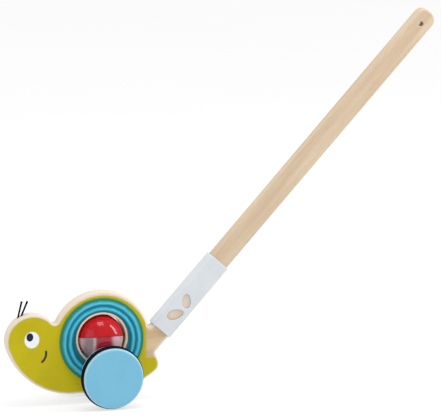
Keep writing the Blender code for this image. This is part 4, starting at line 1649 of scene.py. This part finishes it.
@dataclass
class Feelers:
    """The two thin black stalks on the head, by where they enter its edge, their direction and their length."""

    radius: float = 1.05 * MM
    embedded: float = 8.0 * MM
    tip: float = 0.9 * MM
    tip_swell: float = 0.22
    taper: float = 0.05
    strands: int = 3
    strand_height: float = 0.07
    twist: float = 9.0
    entries: tuple[tuple[float, float, float], ...] = (
        (math.radians(119.7), math.radians(76.5), 19.7 * MM),
        (math.radians(111.4), math.radians(66.6), 18.6 * MM),
    )

    def build(self, board: SnailBoard) -> None:
        """Make both feelers: straight stalks of twisted strands that swell a little at their tips.

        The radius grows slowly along the stalk, with a bell-shaped swelling near the tip and a square root's round
        end. The strands raise it by a share of the cosine of their number times the angle less the twist.

        Args:
            board: The board whose head they stand in.
        """
        material = FEELER_FINISH.material("black_feeler", SHELL)
        angles = np.linspace(0, TURN, 30, endpoint=False)
        for label, (entry, direction, length) in zip(("left", "right"), self.entries):
            flat = np.array(board.head) + board.head_radius * np.array([math.cos(entry), math.sin(entry)])
            forward = np.array([math.cos(direction), 0.0, math.sin(direction)])
            plane = Plane(BOARD_PLANE.place(flat, 0.0), np.cross(forward, DEPTH), DEPTH, forward)
            run = np.linspace(-self.embedded, length, 64)
            share = np.clip(run / length, 0.0, 1.0)
            swell = self.tip_swell * np.exp(-(((share - 0.96) / 0.05) ** 2))
            radii = self.radius * (1.0 + self.taper * share + swell)
            radii *= np.sqrt(np.clip((length - run) / self.tip, 0.0, 1.0))
            radii[0] = 0.0
            turns = self.twist * TURN * np.linspace(0, 1, len(run))[:, None]
            strands = 1 + self.strand_height * np.cos(self.strands * (angles - turns))
            feeler = swept(f"black_feeler_{label}", plane, radii[:, None] * strands, run)
            settle(feeler, material, Body.SNAIL, "feeler", f"feeler_{label}")


# ---------------------------------------------------------------------------------------------------------------
# Stage


@dataclass(frozen=True)
class Lamp:
    """A rectangular lamp: where it stands from the ball, its width and height, and its power in watts."""

    name: str
    way: Colour
    size: Pair
    power: float

    def build(self) -> None:
        """Put the lamp into the scene, looking at the ball."""
        data = bpy.data.lights.new(self.name, "AREA")
        data.shape = "RECTANGLE"
        data.size, data.size_y = self.size
        data.energy = self.power
        way = Vector(self.way)
        lamp = linked(self.name, data)
        lamp.location = Vector(BALL) + way
        lamp.rotation_euler = (-way).to_track_quat("-Z", "Y").to_euler()


@dataclass
class Studio:
    """The floor, the light and the camera."""

    azimuth: float = math.radians(-16.0)
    elevation: float = math.radians(12.5)
    lens: float = 900.0
    sensor: float = 36.0
    view_width: float = 0.507
    far_clip: float = 100.0
    aim_from_shell: tuple[float, float, float] = (0.142284, -0.007, 0.1459)
    floor_size: float = 12.0
    floor_level: float = -0.2 * MM
    floor_glow: float = 0.62
    sky: Colour = (1.0, 1.0, 1.0)
    sky_strength: float = 0.90
    lamps: tuple[Lamp, ...] = (
        Lamp("top_softbox", (0.0, -0.3, 1.8), (0.8, 0.7), 10.0),
        Lamp("left_bank", (-1.62, -0.67, 0.41), (1.2, 1.6), 6.0),
        Lamp("right_window", (1.54, -0.36, 0.87), (0.35, 1.2), 16.0),
    )

    def floor(self) -> None:
        """A softly lit white floor with a very faint mottle."""
        share = np.linspace(-self.floor_size / 2, self.floor_size / 2, 9)
        across, along = np.meshgrid(share, share)
        points = np.stack([across, along, np.full_like(across, self.floor_level)], axis=-1)
        floor = Shape().grid(points, wrap_columns=False).build("pale_floor")
        nodes = Nodes("pale_floor")
        colour = nodes.mix(nodes.noise(3.0, 2.0), (0.34, 0.34, 0.34), (0.36, 0.36, 0.36))
        floor.data.materials.append(nodes.finish(Base_Color=colour, Roughness=0.9, Specular_IOR_Level=0.0,
                                                 Emission_Color=self.sky, Emission_Strength=self.floor_glow))
        floor.data.shade_flat()
        if floor.data.polygons[0].normal.z < 0:
            floor.data.flip_normals()

    def world(self) -> None:
        """An even pale sky."""
        world = bpy.data.worlds.new("pale_sky")
        world.use_nodes = True
        background = world.node_tree.nodes["Background"]
        background.inputs["Color"].default_value = (*self.sky, 1.0)
        background.inputs["Strength"].default_value = self.sky_strength
        bpy.context.scene.world = world

    def camera(self) -> None:
        """A long lens at the toy's near left, a little above it."""
        data = bpy.data.cameras.new("camera")
        data.lens, data.sensor_width, data.clip_end = self.lens, self.sensor, self.far_clip
        back = Vector((
            math.sin(self.azimuth) * math.cos(self.elevation),
            -math.cos(self.azimuth) * math.cos(self.elevation),
            math.sin(self.elevation),
        ))
        camera = linked("camera", data)
        aim = Vector(SHELL) + Vector(self.aim_from_shell)
        camera.location = aim + back * (self.view_width * self.lens / self.sensor)
        camera.rotation_euler = back.to_track_quat("Z", "Y").to_euler()
        bpy.context.scene.camera = camera

    def build(self) -> None:
        """Set up the stage."""
        self.floor()
        self.world()
        for lamp in self.lamps:
            lamp.build()
        self.camera()
        bpy.context.scene.view_settings.view_transform = "Standard"


def main() -> None:
    """Build the toy and its stage in order."""
    logging.basicConfig(level=logging.INFO, format="%(message)s")
    board = SnailBoard()
    board.build()
    ShellRings().build()
    RattleBall().build()
    WheelSet().build()
    StickParts().build()
    Feelers().build(board)
    Studio().build()


if __name__ == "__main__":
    main()
